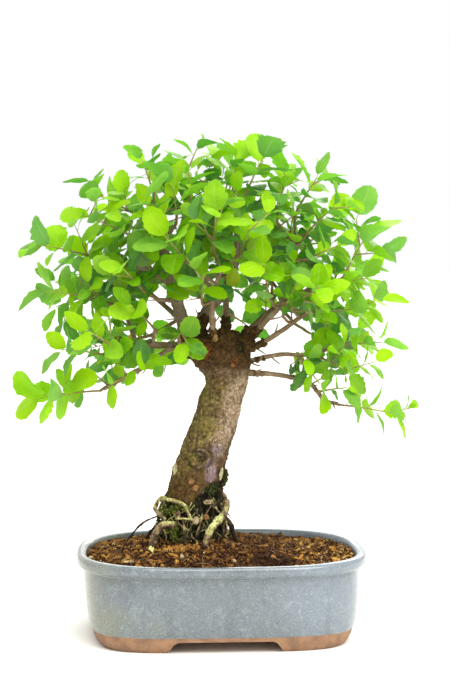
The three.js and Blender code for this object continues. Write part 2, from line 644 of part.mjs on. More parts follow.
/** Places the leaves of every shoot, each clear of the wood, the stems and the other leaves. */
function growLeaves(shoots, stems, wood) {
  const draw = new Draw(SEED);
  const taken = [...wood];
  stems.forEach((stem, owner) => {
    taken.push(boxAlong(stem.getPoint(0), stem.getPoint(0.5), STEM_RADIUS, owner));
    taken.push(boxAlong(stem.getPoint(0.5), stem.getPoint(1), STEM_RADIUS, owner));
  });
  return shoots.map((shoot, owner) => {
    const [, , , count, usualLength] = shoot;
    const leaves = [];
    const firstTurn = draw.between(0, 2 * Math.PI);
    for (let i = 0; i < count; i += 1) {
      const share = 0.1 + (0.86 * i) / (count - 1);
      for (let attempt = 0; attempt < LEAF_TRIES; attempt += 1) {
        const turn = firstTurn + i * GOLDEN_ANGLE + draw.between(-0.3, 0.3) * (1 + attempt / 5);
        const openAngle = THREE.MathUtils.degToRad(76 - 34 * share + draw.between(-8, 8));
        const length = usualLength * draw.between(0.86, 1.2) * (1 - 0.025 * attempt);
        const width = length * draw.between(0.54, 0.68);
        const leaf = leafStance(draw, stems[owner], share, turn, openAngle, length, width);
        const whole = leafBox(leaf, 0.06, 1, width / 2, LEAF_HALF_BOX, owner);
        whole.leaf = true;
        whole.neck = leafBox(leaf, 0.1, 0.36, width * 0.3, 1.4, owner);
        whole.blade = leafBox(leaf, 0.3, 1, width / 2, 1.6, owner);
        const blocked = leaf.twist < LEAST_TWIST || taken.some((other) => {
          return other.owner === owner ? crowdsOwnShoot(whole, other) : boxesMeet(whole, other, LEAF_GAP);
        });
        if (!blocked) {
          taken.push(whole);
          leaves.push(leaf);
          break;
        }
      }
    }
    return leaves;
  });
}

/** The four corners of a leaf's section: two below its face, then two above. */
function leafSection(leaf, share, halfWidth) {
  const arch = 1.5 * Math.sin(Math.PI * Math.min(share * 1.15, 1)) - 1.3 * share ** 3;
  const corner = (across, lift) => {
    const wave = 0.5 * Math.sign(across) * Math.sin(7 * share);
    return leaf.base.clone()
      .addScaledVector(leaf.heading, leaf.length * share + across * 0.06)
      .addScaledVector(leaf.side, across)
      .addScaledVector(leaf.face, arch + wave + lift);
  };
  const half = LEAF_THICKNESS / 2;
  return [corner(-halfWidth, -half), corner(halfWidth, -half), corner(halfWidth, half), corner(-halfWidth, half)];
}

/** Grows one leaf out of the four corners of a side of its stem. */
function addLeaf(surface, leaf, port) {
  const faceDown = leaf.face.dot(leaf.level) < 0;
  const root = faceDown ? [port[2], port[3], port[0], port[1]] : port;
  const wide = surface.loop(leafSection(leaf, 0.37, leaf.width / 2));
  const upper = surface.loop(leafSection(leaf, 0.76, leaf.width * 0.38));
  const point = leafSection(leaf, 1, 0);
  const [below, above] = surface.loop([point[0], point[2]]);
  surface.band(root, wide, [], [0]);
  surface.band(wide, upper, [], [0]);
  surface.lid([upper[0], upper[1], below]);
  surface.lid([upper[1], upper[2], above, below]);
  surface.lid([upper[2], upper[3], above]);
  surface.lid([upper[3], upper[0], below, above]);
}

/** The three corners of a stem's section, with the middle of one side turned to an angle. */
function stemSection(stem, share, turn) {
  const { middle, across, third } = stemFrame(stem, share);
  const radius = STEM_RADIUS + (STEM_TIP_RADIUS - STEM_RADIUS) * share;
  return [0, 1, 2].map((i) => {
    const angle = turn + ((2 * i + 1) * Math.PI) / 3;
    return middle.clone()
      .addScaledVector(across, radius * Math.cos(angle))
      .addScaledVector(third, radius * Math.sin(angle));
  });
}

/** A leafy shoot: a three-sided stem that turns so that a side of it faces each leaf. */
function buildShoot(stem, leaves) {
  const surface = new Surface();
  const third = (2 * Math.PI) / 3;
  const halfPort = LEAF_ROOT / 2 / stem.getLength();
  let turn = leaves[0].turn;
  let last = surface.loop(stemSection(stem, 0, turn));
  surface.lid([...last].reverse());
  for (const leaf of leaves) {
    const sides = Math.round((leaf.turn - turn) / third);
    const twisted = leaf.turn - sides * third > turn;
    turn = leaf.turn - sides * third;
    const side = ((sides % 3) + 3) % 3;
    const lower = surface.loop(stemSection(stem, leaf.share - halfPort, turn));
    const upper = surface.loop(stemSection(stem, leaf.share + halfPort, turn));
    surface.band(last, lower, [], twisted ? [0, 1, 2] : []);
    const edge = (side + 2) % 3;
    surface.band(lower, upper, [edge]);
    addLeaf(surface, leaf, [lower[edge], lower[side], upper[side], upper[edge]]);
    last = upper;
  }
  surface.lid(last);
  return surface.geometry();
}

function buildWood(twigs) {
  const trunk = trunkSolid(0).subtract(ball(HOLLOW, HOLLOW_LEAN));
  const limbs = LIMBS.map(([first, last, points]) => {
    return rod(smoothCurve(points), first, last, LIMB_SIDES, LIMB_STEPS);
  });
  const knobs = KNOBS.map((knob) => ball(knob));
  const twigRods = twigs.map((twig) => {
    const steps = twig.curve.getLength() > SHORT_TWIG ? 2 : 1;
    return rod(twig.curve, twig.radius, TWIG_TIP_RADIUS, 3, steps);
  });
  return geometryOf(join([trunk, ...rootSolids(0), ...limbs, ...knobs, ...twigRods]));
}

function piece(name, geometry, [colour, roughness]) {
  const material = new THREE.MeshStandardMaterial({ color: colour, roughness, metalness: 0 });
  const mesh = new THREE.Mesh(geometry, material);
  mesh.name = name;
  return mesh;
}

const stations = LIMBS.flatMap((limb) => limbStations(limb, 12));
const twigs = SHOOTS.map((shoot) => twigOf(shoot, stations));
const stems = SHOOTS.map(stemOf);
const leaves = growLeaves(SHOOTS, stems, woodBoxes(twigs));

const bonsai = new THREE.Group();
bonsai.add(piece("pot", buildPot(), GLAZE));
bonsai.add(piece("screen_left", buildScreen(-1), SCREEN));
bonsai.add(piece("screen_right", buildScreen(1), SCREEN));
bonsai.add(piece("soil", buildSoil(), EARTH));
bonsai.add(piece("wood", buildWood(twigs), BARK));
SHOOTS.forEach(([name], i) => {
  bonsai.add(piece(`shoot_${name}`, buildShoot(stems[i], leaves[i]), FOLIAGE));
});

// The middle of the whole plant's outline, at the ground, is the origin
const outline = new THREE.Box3().setFromObject(bonsai);
const middle = outline.getCenter(new THREE.Vector3());
bonsai.position.set(-middle.x, -middle.y, -outline.min.z);

export default bonsai;
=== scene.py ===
"""How a potted evergreen oak bonsai looks: glazed pot, mixed soil, gnarled wood and leafy crown.

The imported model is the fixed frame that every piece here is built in. The plant's own tables are
in millimetres from the middle of the pot on the ground, with +Z up and -Y towards the viewer, and
they become metres in the row's frame when a piece's mesh is made.
"""

import sys

import logging
import math
import random
from contextlib import contextmanager
from dataclasses import dataclass, field, replace
from enum import Enum
from typing import Callable, Iterator, NamedTuple, Sequence

import bpy
from mathutils import Matrix, Vector, noise


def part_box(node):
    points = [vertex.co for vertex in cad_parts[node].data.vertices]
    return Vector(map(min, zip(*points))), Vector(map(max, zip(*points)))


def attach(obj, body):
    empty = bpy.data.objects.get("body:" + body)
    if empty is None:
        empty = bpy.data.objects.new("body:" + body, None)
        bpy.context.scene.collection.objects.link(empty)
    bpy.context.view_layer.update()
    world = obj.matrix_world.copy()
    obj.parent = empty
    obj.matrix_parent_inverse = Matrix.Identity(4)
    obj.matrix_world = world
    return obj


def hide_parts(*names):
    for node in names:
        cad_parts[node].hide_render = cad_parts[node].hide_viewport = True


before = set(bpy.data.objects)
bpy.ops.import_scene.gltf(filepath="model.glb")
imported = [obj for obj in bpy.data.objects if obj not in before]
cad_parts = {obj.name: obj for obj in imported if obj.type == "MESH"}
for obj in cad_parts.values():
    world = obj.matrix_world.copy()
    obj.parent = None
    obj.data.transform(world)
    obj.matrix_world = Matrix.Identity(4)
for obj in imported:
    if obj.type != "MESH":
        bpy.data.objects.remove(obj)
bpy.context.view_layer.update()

log = logging.getLogger("bonsai")

MM = 0.001
BODY = "root"
GOLDEN_ANGLE = math.radians(137.5)

Colour = tuple[float, float, float]
Curve = Sequence[tuple[float, float]]
Face = tuple[int, ...]
Material = bpy.types.Material
Socket = bpy.types.NodeSocket
Stops = tuple[tuple[float, Colour], ...]
Thing = bpy.types.Object
Value = Socket | Colour | float | None


class Vec(NamedTuple):
    """A point or a direction in millimetres, in full precision."""

    x: float
    y: float
    z: float

    def __add__(self, other: "Vec") -> "Vec":
        """The sum of two vectors."""
        return Vec(self.x + other.x, self.y + other.y, self.z + other.z)

    def __sub__(self, other: "Vec") -> "Vec":
        """The vector from the other point to this one."""
        return Vec(self.x - other.x, self.y - other.y, self.z - other.z)

    def __mul__(self, size: float) -> "Vec":
        """The vector made longer or shorter."""
        return Vec(self.x * size, self.y * size, self.z * size)

    def dot(self, other: "Vec") -> float:
        """The scalar product."""
        return self.x * other.x + self.y * other.y + self.z * other.z

    def cross(self, other: "Vec") -> "Vec":
        """The vector product."""
        return Vec(
            self.y * other.z - self.z * other.y,
            self.z * other.x - self.x * other.z,
            self.x * other.y - self.y * other.x,
        )

    def length(self) -> float:
        """The vector's length."""
        return math.sqrt(self.dot(self))

    def unit(self) -> "Vec":
        """The same direction, one long."""
        return self * (1 / self.length())

    def toward(self, other: "Vec", share: float) -> "Vec":
        """The point at a share of the way to another one."""
        return self + (other - self) * share


POT_LOW, POT_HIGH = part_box("pot")
SHIFT = Vec((POT_LOW.x + POT_HIGH.x) / 2 / MM, (POT_LOW.y + POT_HIGH.y) / 2 / MM, 0.0)
POT_LENGTH = (POT_HIGH.x - POT_LOW.x) / MM
POT_DEPTH = (POT_HIGH.y - POT_LOW.y) / MM
LIP_POWER = 2.9  # of the pot's plan at its lip: 2 is an ellipse and larger is squarer
FOOT_POWER = 4.6  # of its plan at the ground
END_TAPER = 5.0  # how much further in each end stands at the ground
WALL_TOP = 72.0  # where the plan is the lip's
DRAIN_X = 60.0  # how far each drain is from the middle


def metres(point: Vec) -> Vector:
    """Turns a point of the plant's tables into a point of the row's frame."""
    return Vector(((point.x + SHIFT.x) * MM, (point.y + SHIFT.y) * MM, point.z * MM))


def millimetres(point: Vector) -> Vec:
    """Turns a point of the row's frame into a point of the plant's tables."""
    return Vec(point.x / MM - SHIFT.x, point.y / MM - SHIFT.y, point.z / MM)


def clamp(value: float, low: float = 0.0, high: float = 1.0) -> float:
    """Holds a number between two limits."""
    return max(low, min(high, value))


def smooth_step(low: float, high: float, value: float) -> float:
    """Rises softly from 0 at one number to 1 at another."""
    share = clamp((value - low) / (high - low))
    return share * share * (3 - 2 * share)


def lumps(place: Sequence[float], size: float = 1.0) -> float:
    """Smooth noise about 0 at a place, with bumps of a size."""
    return noise.noise(Vector(place) / size)


def bell(away: float, width: float) -> float:
    """Falls softly from 1 in the middle to nothing well beyond a width."""
    return math.exp(-((away / width) ** 2))


def line_height(line: Curve, x: float, beyond: float) -> float:
    """Finds the height of a broken line.

    Args:
        line: its corners from left to right, each with x and height.
        x: the place across it.
        beyond: the height where the line doesn't reach.

    Returns:
        The height there.
    """
    for (first_x, first_z), (last_x, last_z) in zip(line, line[1:]):
        if first_x <= x <= last_x:
            return first_z + (last_z - first_z) * (x - first_x) / (last_x - first_x)
    return beyond


# The plant's tables

# Rings of the trunk: height, centre x, centre y, half width, half depth
TRUNK = [
    (52, -28, 0, 28, 26), (78, -28, 0, 33, 30), (98, -28, -1, 34, 32), (112, -28, -2, 33.5, 31),
    (126, -27, -3, 32, 29.5), (139, -24.5, -3, 28, 27), (154, -22.4, -3, 26, 25.4),
    (165, -21, -2, 25, 24), (176, -16.5, -2, 23.6, 23.4), (188, -12.9, -1, 23.6, 22.6),
    (202, -7.2, 0, 22.8, 22), (219, -2.4, 0, 21.4, 21), (233, 0.8, 0, 21.4, 21),
    (242, 5, 0, 20, 20), (252, 6.2, 0, 20.8, 20.6), (264, 3, 0, 24.6, 24), (276, 3, 0, 26.5, 25),
    (287, 4, 0, 23, 22), (294, 5, 0, 15, 14), (297, 5, 0, 6, 6),
]
HEAD = Vec(4, 0, 272)

# Knobs and balls of callus: centre, then half size along x, y and z
KNOBS = [
    ((-14, -8, 281), (15, 13, 12)), ((21, -5, 283), (13, 13, 11)), ((3, -11, 290), (12, 10, 9)),
    ((-17, -10, 268), (10, 9, 8)), ((21, -13, 268), (8, 8, 8)), ((2, 15, 284), (16, 12, 12)),
    ((-21, -22.5, 175), (9.5, 4.5, 9)), ((-26, -29, 146), (3.3, 3.3, 3.3)),
    ((-30, -28, 152), (2.6, 2.6, 3)), ((-16, -31, 118), (3, 3, 3)), ((-26, -33, 115), (4, 3.4, 3.6)),
    ((-14, -27, 132), (4.5, 3.6, 2.6)),
]
KNOT = 6  # the row of the swirling knot low on the trunk; the rows before it grow out of the head

# Surface roots: first radius, last radius, then the points that each passes through
ROOTS = [
    (2.3, 2, [(-49, -6, 124), (-58, -10, 131), (-53, -22, 134), (-45, -28, 133), (-37, -31, 130),
              (-34, -33, 124), (-30, -32, 115)]),
    (2.4, 2, [(-48, -8, 132), (-59, -12, 134), (-65, -18, 126), (-62, -24, 121), (-55, -24, 115)]),
    (4.6, 4.5, [(-38, -18, 110), (-49, -31, 111), (-56, -35, 112), (-63, -37, 107), (-67, -38, 97),
                (-69, -39, 87), (-70, -39, 74)]),
    (1.6, 1.2, [(-52, -10, 117), (-64, -20, 117), (-74, -26, 114), (-81, -28, 109), (-88, -30, 101),
                (-96, -31, 90), (-103, -31, 74)]),
    (1.7, 1.5, [(-38, -26, 120), (-38, -35, 114), (-37, -38, 106), (-36, -38, 96), (-34, -38, 86),
                (-33, -38, 74)]),
    (1.7, 1.5, [(-46, -24, 115), (-42, -33, 117), (-33, -36, 117), (-26, -30, 114)]),
    (1.5, 1.3, [(-31, -29, 116), (-31, -37, 109), (-32, -39, 101), (-33, -38, 91), (-32, -38, 78)]),
    (1.4, 1.2, [(-19, -28, 124), (-21, -36, 115), (-24, -38, 106), (-27, -38, 97), (-29, -38, 86),
                (-30, -38, 75)]),
    (4.2, 4, [(-6, -14, 146), (2, -20, 138), (5, -23, 128), (2, -28, 121), (-5, -32, 114),
              (-12, -36, 106), (-16, -38, 96), (-18, -38, 76)]),
    (2.4, 2.2, [(-6, -18, 146), (-1, -27, 140), (-3, -30, 133), (-10, -24, 127)]),
    (2.6, 2.4, [(-8, -4, 172), (0, -10, 166), (3.5, -11, 158), (1, -10, 150), (-5, -6, 144)]),
    (2, 1.8, [(-44, -7, 169), (-46, -10, 164), (-47.5, -11, 156), (-44, -6, 148)]),
    (4.4, 3.6, [(-8, -4, 118), (7, -10, 110), (12, -13, 98), (16, -14, 86), (17, -14, 72)]),
    (4.2, 3.4, [(-40, 20, 118), (-52, 32, 106), (-60, 38, 94), (-64, 40, 76)]),
    (4.2, 3.4, [(-14, 20, 116), (-5, 32, 104), (1, 38, 92), (3, 40, 76)]),
    (4, 3.2, [(-52, 4, 112), (-64, 8, 103), (-72, 10, 92), (-76, 10, 76)]),
]

# Main limbs: first radius, last radius, then the points that each passes through
LIMBS = [
    (8.5, 4, [(-8, 0, 264), (-30, -3, 285), (-37, -4, 306), (-43, -6, 327), (-50, -8, 355),
              (-59, -8, 386), (-63, -5, 413)]),
    (6.5, 2.8, [(-4, 4, 274), (-20, 9, 294), (-13, 12, 316), (2, 14, 331), (14, 12, 358),
                (17, 6, 394), (17, 0, 420)]),
    (3.6, 2, [(-10, -4, 270), (-26, -12, 275), (-50, -22, 279), (-71, -38, 267), (-93, -52, 256),
              (-113, -62, 246)]),
    (4, 2.2, [(-10, 0, 278), (-28, -6, 283), (-60, -20, 284), (-82, -34, 285), (-100, -44, 284)]),
    (3.2, 2, [(-47, -6, 341), (-67, -6, 355), (-96, -8, 364), (-123, -12, 368)]),
    (3.8, 2, [(8, 0, 276), (29, 0, 291), (44, -6, 307), (57, -12, 322), (64, -18, 348), (74, -18, 382)]),
    (2.6, 1.8, [(56, -11, 320), (75, -14, 333), (98, -14, 341), (114, -12, 345)]),
    (2.8, 1.8, [(10, -2, 274), (32, -10, 281), (60, -20, 299), (82, -28, 315), (100, -32, 318)]),
    (2.4, 1.7, [(8, -4, 262), (27, -12, 268), (57, -24, 275), (79, -32, 275), (104, -34, 281)]),
    (2.8, 1.7, [(2, -2, 256), (21, -14, 257), (55, -22, 255), (83, -30, 248), (98, -36, 232),
                (111, -38, 228)]),
    (3.4, 1.9, [(0, -4, 278), (-7, -16, 291), (-10, -30, 311), (-9, -45, 336), (-2, -55, 359)]),
    (3.8, 2, [(-6, 8, 278), (-16, 18, 288), (-33, 40, 301), (-54, 62, 320), (-79, 74, 341)]),
    (3.8, 2, [(10, 8, 280), (22, 16, 290), (44, 36, 308), (70, 58, 327), (90, 70, 346)]),
    (3.8, 2, [(4, 6, 282), (6, 16, 296), (8, 36, 326), (11, 56, 364), (15, 62, 399)]),
]
STATIONS = 12  # stretches that a limb is divided into

# Leafy shoots: name, where the green shoot starts, how far its leaves reach, how many leaves it
# bears, and the length of a middling leaf
SHOOTS = [
    ("droop_left_tip", (-117, -62, 244), (-186, -80, 237), 10, 31),
    ("droop_left_mid", (-88, -52, 259), (-114, -78, 247), 7, 28),
    ("left_low_tip", (-113, -48, 277), (-163, -62, 284), 7, 29),
    ("left_low_front", (-107, -70, 287), (-134, -108, 307), 6, 30),
    ("left_side", (-119, -18, 328), (-180, -34, 339), 7, 30),
    ("left_side_back", (-120, 22, 333), (-174, 34, 316), 6, 30),
    ("left_upper", (-133, -14, 372), (-188, -26, 383), 7, 30),
    ("left_shoulder_low", (-94, -30, 393), (-141, -48, 412), 6, 31),
    ("left_shoulder_high", (-88, -8, 413), (-125, -20, 432), 6, 29),
    ("left_crown_front", (-62, -44, 399), (-77, -68, 428), 6, 29),
    ("left_crown_sprig", (-67, 0, 436), (-79, -6, 470), 5, 26),
    ("crown_left", (-44, -30, 410), (-49, -46, 444), 6, 31),
    ("crown_mid_left", (-30, 2, 429), (-32, 6, 466), 6, 27),
    ("crown_mid", (-14, 16, 437), (-6, 24, 477), 5, 24),
    ("crown_front", (-10, -60, 381), (-9, -92, 421), 6, 34),
    ("crown_mid_right", (11, -10, 434), (16, -16, 472), 6, 25),
    ("crown_right", (23, -22, 430), (42, -30, 471), 6, 29),
    ("crown_far_right", (55, -10, 411), (64, -14, 457), 6, 28),
    ("right_crown_sprig", (76, -14, 419), (96, -26, 453), 6, 29),
    ("right_shoulder", (86, -30, 397), (112, -42, 423), 6, 28),
    ("right_tall", (120, -10, 351), (147, -16, 400), 5, 37),
    ("right_upper", (83, -40, 368), (118, -56, 384), 6, 28),
    ("right_side", (113, -18, 343), (148, -26, 350), 5, 29),
    ("right_middle", (100, -32, 315), (139, -42, 321), 6, 31),
    ("right_low", (112, -32, 284), (163, -44, 288), 7, 30),
    ("right_low_front", (96, -38, 272), (124, -56, 256), 5, 26),
    ("droop_right_tip", (113, -38, 227), (180, -48, 216), 8, 21),
    ("droop_right_mid", (94, -46, 241), (122, -68, 247), 5, 22),
    ("right_hanging", (77, -46, 267), (94, -64, 245), 5, 24),
    ("centre_right", (58, -46, 319), (70, -80, 352), 6, 28),
    ("centre_right_high", (41, -60, 338), (32, -98, 370), 6, 31),
    ("front_of_head", (-40, -50, 297), (-34, -92, 286), 5, 32),
    ("front_left_low", (-68, -42, 304), (-92, -76, 328), 6, 29),
    ("centre_front", (-21, -54, 327), (-21, -100, 361), 6, 35),
    ("front_left", (-77, -42, 338), (-101, -80, 365), 6, 30),
    ("front_left_high", (-38, -56, 368), (-59, -92, 391), 6, 31),
    ("front_right_high", (15, -52, 372), (24, -90, 401), 6, 30),
    ("front_right", (69, -66, 329), (89, -106, 341), 6, 28),
    ("back_left_low", (-85, 58, 285), (-139, 92, 273), 6, 29),
    ("back_left", (-97, 72, 333), (-145, 108, 349), 6, 30),
    ("back_left_high", (-77, 58, 388), (-109, 88, 420), 6, 30),
    ("back_crown_left", (-40, 50, 423), (-56, 74, 460), 6, 28),
    ("back_crown", (7, 54, 433), (20, 80, 471), 6, 28),
    ("back_crown_right", (51, 54, 419), (79, 84, 455), 6, 28),
    ("back_right_high", (93, 60, 383), (132, 88, 412), 6, 30),
    ("back_right", (106, 64, 340), (154, 96, 353), 6, 30),
    ("back_right_low", (99, 58, 290), (147, 88, 278), 6, 29),
    ("back_low", (19, 58, 307), (42, 112, 290), 6, 29),
    ("back_middle", (-17, 78, 352), (-27, 132, 370), 6, 31),
    ("back_middle_right", (54, 78, 354), (78, 132, 368), 6, 30),
    ("back_low_left", (-36, 54, 291), (-60, 106, 272), 6, 29),
    ("back_high", (14, 78, 393), (23, 124, 417), 6, 30),
    ("inner_right", (51.8, 15.8, 346.7), (49.5, 12.8, 392.3), 7, 31),
    ("inner_middle", (-16.1, 15.7, 358.3), (-8.3, 16.7, 398.9), 6, 31),
    ("inner_left", (-18.9, 22.1, 328.5), (-35.7, 47.6, 355.4), 7, 31),
]
CANOPY_MIDDLE = Vec(-8, 0, 320)


# Finishes


class Shader:
    """A material's node tree, with a short call for each kind of node that a finish needs."""

    def __init__(self, name: str, **sockets: float | Colour) -> None:
        """Starts a material whose numbers that stay the same all over are set on its own sockets.

        Args:
            name: the material's name.
            sockets: values for the Principled shader's sockets, with _ for each space.
        """
        self.material = bpy.data.materials.new(name)
        self.material.use_nodes = True
        self.tree = self.material.node_tree
        self.surface = self.tree.nodes["Principled BSDF"]
        for socket, value in sockets.items():
            self.feed(self.surface.inputs[socket.replace("_", " ")], value)
        self.here = self.place()

    def node(self, kind: str, *inputs: Value, **settings: object) -> bpy.types.Node:
        """Adds a node.

        Args:
            kind: the node's type after ShaderNode.
            inputs: for each input in turn a number, a colour, a socket to link, or None.
            settings: the node's own options, and values of inputs by their names.

        Returns:
            The new node.
        """
        made = self.tree.nodes.new("ShaderNode" + kind)
        for name, value in settings.items():
            if name in made.inputs:
                made.inputs[name].default_value = value
            else:
                setattr(made, name, value)
        for place, value in enumerate(inputs):
            self.feed(made.inputs[place], value)
        return made

    def feed(self, socket: Socket, value: Value) -> None:
        """Links a socket to another one, or sets its own value, unless that is None."""
        if isinstance(value, Socket):
            self.tree.links.new(value, socket)
        elif value is not None:
            socket.default_value = (*value, 1.0) if socket.type == "RGBA" else value

    def place(self, stretch: Colour = (1, 1, 1), turn: Colour = (0, 0, 0)) -> Socket:
        """Object coordinates, made finer along each axis by a stretch and turned by radians."""
        whole = self.node("TexCoord").outputs["Object"]
        return self.node("Mapping", whole, Scale=stretch, Rotation=turn).outputs[0]

    def noise(self, scale: float, detail: float = 4.0, rough: float = 0.55, where: Value = None) -> Socket:
        """Makes cloudy noise from 0 to 1.

        Args:
            scale: one over the size of its features, in metres.
            detail: how many finer layers it has.
            rough: how strong the finer layers are.
            where: the coordinates, or None for the piece's own.

        Returns:
            The noise.
        """
        where = self.here if where is None else where
        return self.node("TexNoise", where, Scale=scale, Detail=detail, Roughness=rough).outputs[0]

    def cells(self, scale: float) -> Socket:
        """Distance to the nearest of many scattered points."""
        return self.node("TexVoronoi", self.here, Scale=scale).outputs["Distance"]

    def attribute(self, name: str) -> Socket:
        """A number that the piece's mesh carries."""
        return self.node("Attribute", attribute_name=name).outputs["Fac"]

    def ramp(self, value: Socket, stops: Stops) -> Socket:
        """Makes colours along a number.

        Args:
            value: the number.
            stops: place and colour of each stop, in order.

        Returns:
            The colour.
        """
        made = self.node("ValToRGB", value)
        elements = made.color_ramp.elements
        while len(elements) < len(stops):
            elements.new(0.5)
        for element, (place, colour) in zip(elements, stops):
            element.position = place
            element.color = (*colour, 1.0)
        return made.outputs["Color"]

    def rise(self, value: Socket, low: float, high: float, first: float = 0.0, last: float = 1.0) -> Socket:
        """Moves a number from one range softly to another."""
        made = self.node("MapRange", value, low, high, first, last, interpolation_type="SMOOTHSTEP")
        return made.outputs[0]

    def mix(self, share: Value, first: Value, last: Value) -> Socket:
        """Mixes two colours."""
        made = self.node("Mix", share, data_type="RGBA")
        self.feed(made.inputs[6], first)
        self.feed(made.inputs[7], last)
        return made.outputs[2]

    def layers(self, base: Value, *upper: tuple[Value, Socket, float, float, float]) -> Value:
        """Lays colours over one another where patterns rise.

        Args:
            base: the lowest colour.
            upper: each further colour, its pattern, the pattern's numbers where the colour starts
                to show and where it is strongest, and how strong it gets.

        Returns:
            The mixed colour.
        """
        for colour, value, low, high, share in upper:
            base = self.mix(self.rise(value, low, high, 0.0, share), base, colour)
        return base

    def math(self, what: str, first: Value, last: Value = None) -> Socket:
        """One step of arithmetic on numbers."""
        return self.node("Math", first, last, operation=what).outputs[0]

    def plus(self, first: Value, last: Value) -> Socket:
        """The sum of two numbers."""
        return self.math("ADD", first, last)

    def times(self, first: Value, last: Value) -> Socket:
        """The product of two numbers."""
        return self.math("MULTIPLY", first, last)

    def finish(self, colour: Value, rough: Value = None, bump: Value = None, depth: float = 1.0,
               strength: float = 1.0) -> Material:
        """Joins the finished patterns to the shader.

        Args:
            colour: the surface's colour.
            rough: its roughness, or None where a constant is set.
            bump: its height, or None.
            depth: how deep the relief is, in millimetres.
            strength: the share of the relief that shows.

        Returns:
            The material.
        """
        self.feed(self.surface.inputs["Base Color"], colour)
        self.feed(self.surface.inputs["Roughness"], rough)
        if bump is not None:
            relief = self.node("Bump", Strength=strength, Distance=depth * MM)
            self.feed(relief.inputs["Height"], bump)
            self.feed(self.surface.inputs["Normal"], relief.outputs[0])
        return self.material


@dataclass(frozen=True)
class Glaze:
    """Speckled grey-blue stoneware glaze that runs greener towards the left of the pot."""

    blue: Colour = (0.165, 0.196, 0.228)
    middle: Colour = (0.128, 0.152, 0.170)
    green: Colour = (0.175, 0.185, 0.135)
    dark: Colour = (0.085, 0.105, 0.11)
    pale: Colour = (0.36, 0.40, 0.42)
    fleck: Colour = (0.7, 0.73, 0.7)

    def material(self) -> Material:
        """Makes the glaze's material."""
        shader = Shader("glaze", Coat_Weight=0.6, Coat_Roughness=0.1, Specular_IOR_Level=0.5)
        along = shader.node("SeparateXYZ", shader.here).outputs[0]
        along = shader.plus(along, shader.rise(shader.noise(14, 3), 0.3, 0.7, -0.03, 0.03))
        runs = shader.noise(70, 5, 0.6, shader.place((1, 1, 0.18)))
        cloud = shader.noise(110, 5, 0.65)
        grit = shader.noise(850, 4, 0.75)
        base = shader.layers(
            self.green, (self.middle, along, -0.115, -0.05, 1), (self.blue, along, 0.03, 0.12, 1),
            (self.dark, runs, 0.5, 0.66, 0.5), (self.pale, cloud, 0.5, 0.72, 0.3),
            (self.pale, grit, 0.52, 0.66, 0.65), (self.dark, grit, 0.47, 0.34, 0.6),
            (self.fleck, shader.cells(120), 0.07, 0.04, 0.6))
        rough = shader.rise(cloud, 0.3, 0.7, 0.24, 0.4)
        return shader.finish(base, rough, shader.plus(shader.times(grit, 0.4), cloud), 0.3, 0.5)


@dataclass(frozen=True)
class BareClay:
    """Fired terracotta that the glaze doesn't reach."""

    orange: Colour = (0.35, 0.19, 0.10)
    brown: Colour = (0.22, 0.12, 0.068)
    dust: Colour = (0.48, 0.32, 0.21)

    def material(self) -> Material:
        """Makes the clay's material."""
        shader = Shader("bare_clay")
        patch, grain = shader.noise(60), shader.noise(900, 3, 0.7)
        pits = shader.rise(shader.cells(330), 0.12, 0.2)
        base = shader.layers(self.brown, (self.orange, patch, 0.4, 0.62, 1),
                             (self.dust, grain, 0.5, 0.75, 0.6))
        base = shader.mix(pits, self.brown, base)
        rough = shader.rise(grain, 0.3, 0.7, 0.75, 0.92)
        return shader.finish(base, rough, shader.plus(grain, pits), 0.25, 0.6)


@dataclass(frozen=True)
class Earth:
    """Fine dark peat between the grains of the soil."""

    dark: Colour = (0.028, 0.012, 0.007)
    brown: Colour = (0.095, 0.04, 0.018)
    rust: Colour = (0.20, 0.085, 0.03)

    def material(self) -> Material:
        """Makes the peat's material."""
        shader = Shader("earth", Roughness=0.95, Specular_IOR_Level=0.1)
        crumbs, patch = shader.noise(420, 5, 0.7), shader.noise(60, 3)
        base = shader.layers(self.dark, (self.brown, crumbs, 0.38, 0.62, 1),
                             (self.rust, patch, 0.45, 0.7, 0.5))
        return shader.finish(base, None, crumbs, 1.6)


@dataclass(frozen=True)
class MeshPlastic:
    """Dark soft plastic of the drainage screens, dusted with soil."""

    black: Colour = (0.02, 0.024, 0.026)
    dust: Colour = (0.10, 0.06, 0.04)

    def material(self) -> Material:
        """Makes the plastic's material."""
        shader = Shader("mesh_plastic")
        dusty = shader.noise(300)
        base = shader.layers(self.black, (self.dust, dusty, 0.45, 0.7, 0.7))
        return shader.finish(base, shader.rise(dusty, 0.3, 0.7, 0.45, 0.8), dusty, 0.2, 0.5)


class Speckle(NamedTuple):
    """A colour that shows in flecks: the scale, detail and roughness of its noise, and its limits."""

    colour: Colour
    pattern: tuple[float, float, float]
    low: float
    high: float
    share: float


@dataclass(frozen=True)
class TonedFinish:
    """A natural surface whose colour follows the tone that its mesh carries, under speckles.

    The last speckle's noise also makes the relief.
    """

    name: str
    tones: Stops
    speckles: tuple[Speckle, ...]
    roughness: float
    gloss: float
    depth: float
    strength: float
    stain: float = 0.0  # how much cloudy patches shift the tone

    def material(self) -> Material:
        """Makes the surface's material."""
        shader = Shader(self.name, Roughness=self.roughness, Specular_IOR_Level=self.gloss)
        tone = shader.attribute("tone")
        if self.stain:
            tone = shader.plus(shader.times(shader.noise(150, 4, 0.6), self.stain), tone)
        base = shader.ramp(tone, self.tones)
        for speckle in self.speckles:
            grain = shader.noise(*speckle.pattern)
            base = shader.layers(base, (speckle.colour, grain, speckle.low, speckle.high, speckle.share))
        return shader.finish(base, None, grain, self.depth, self.strength)


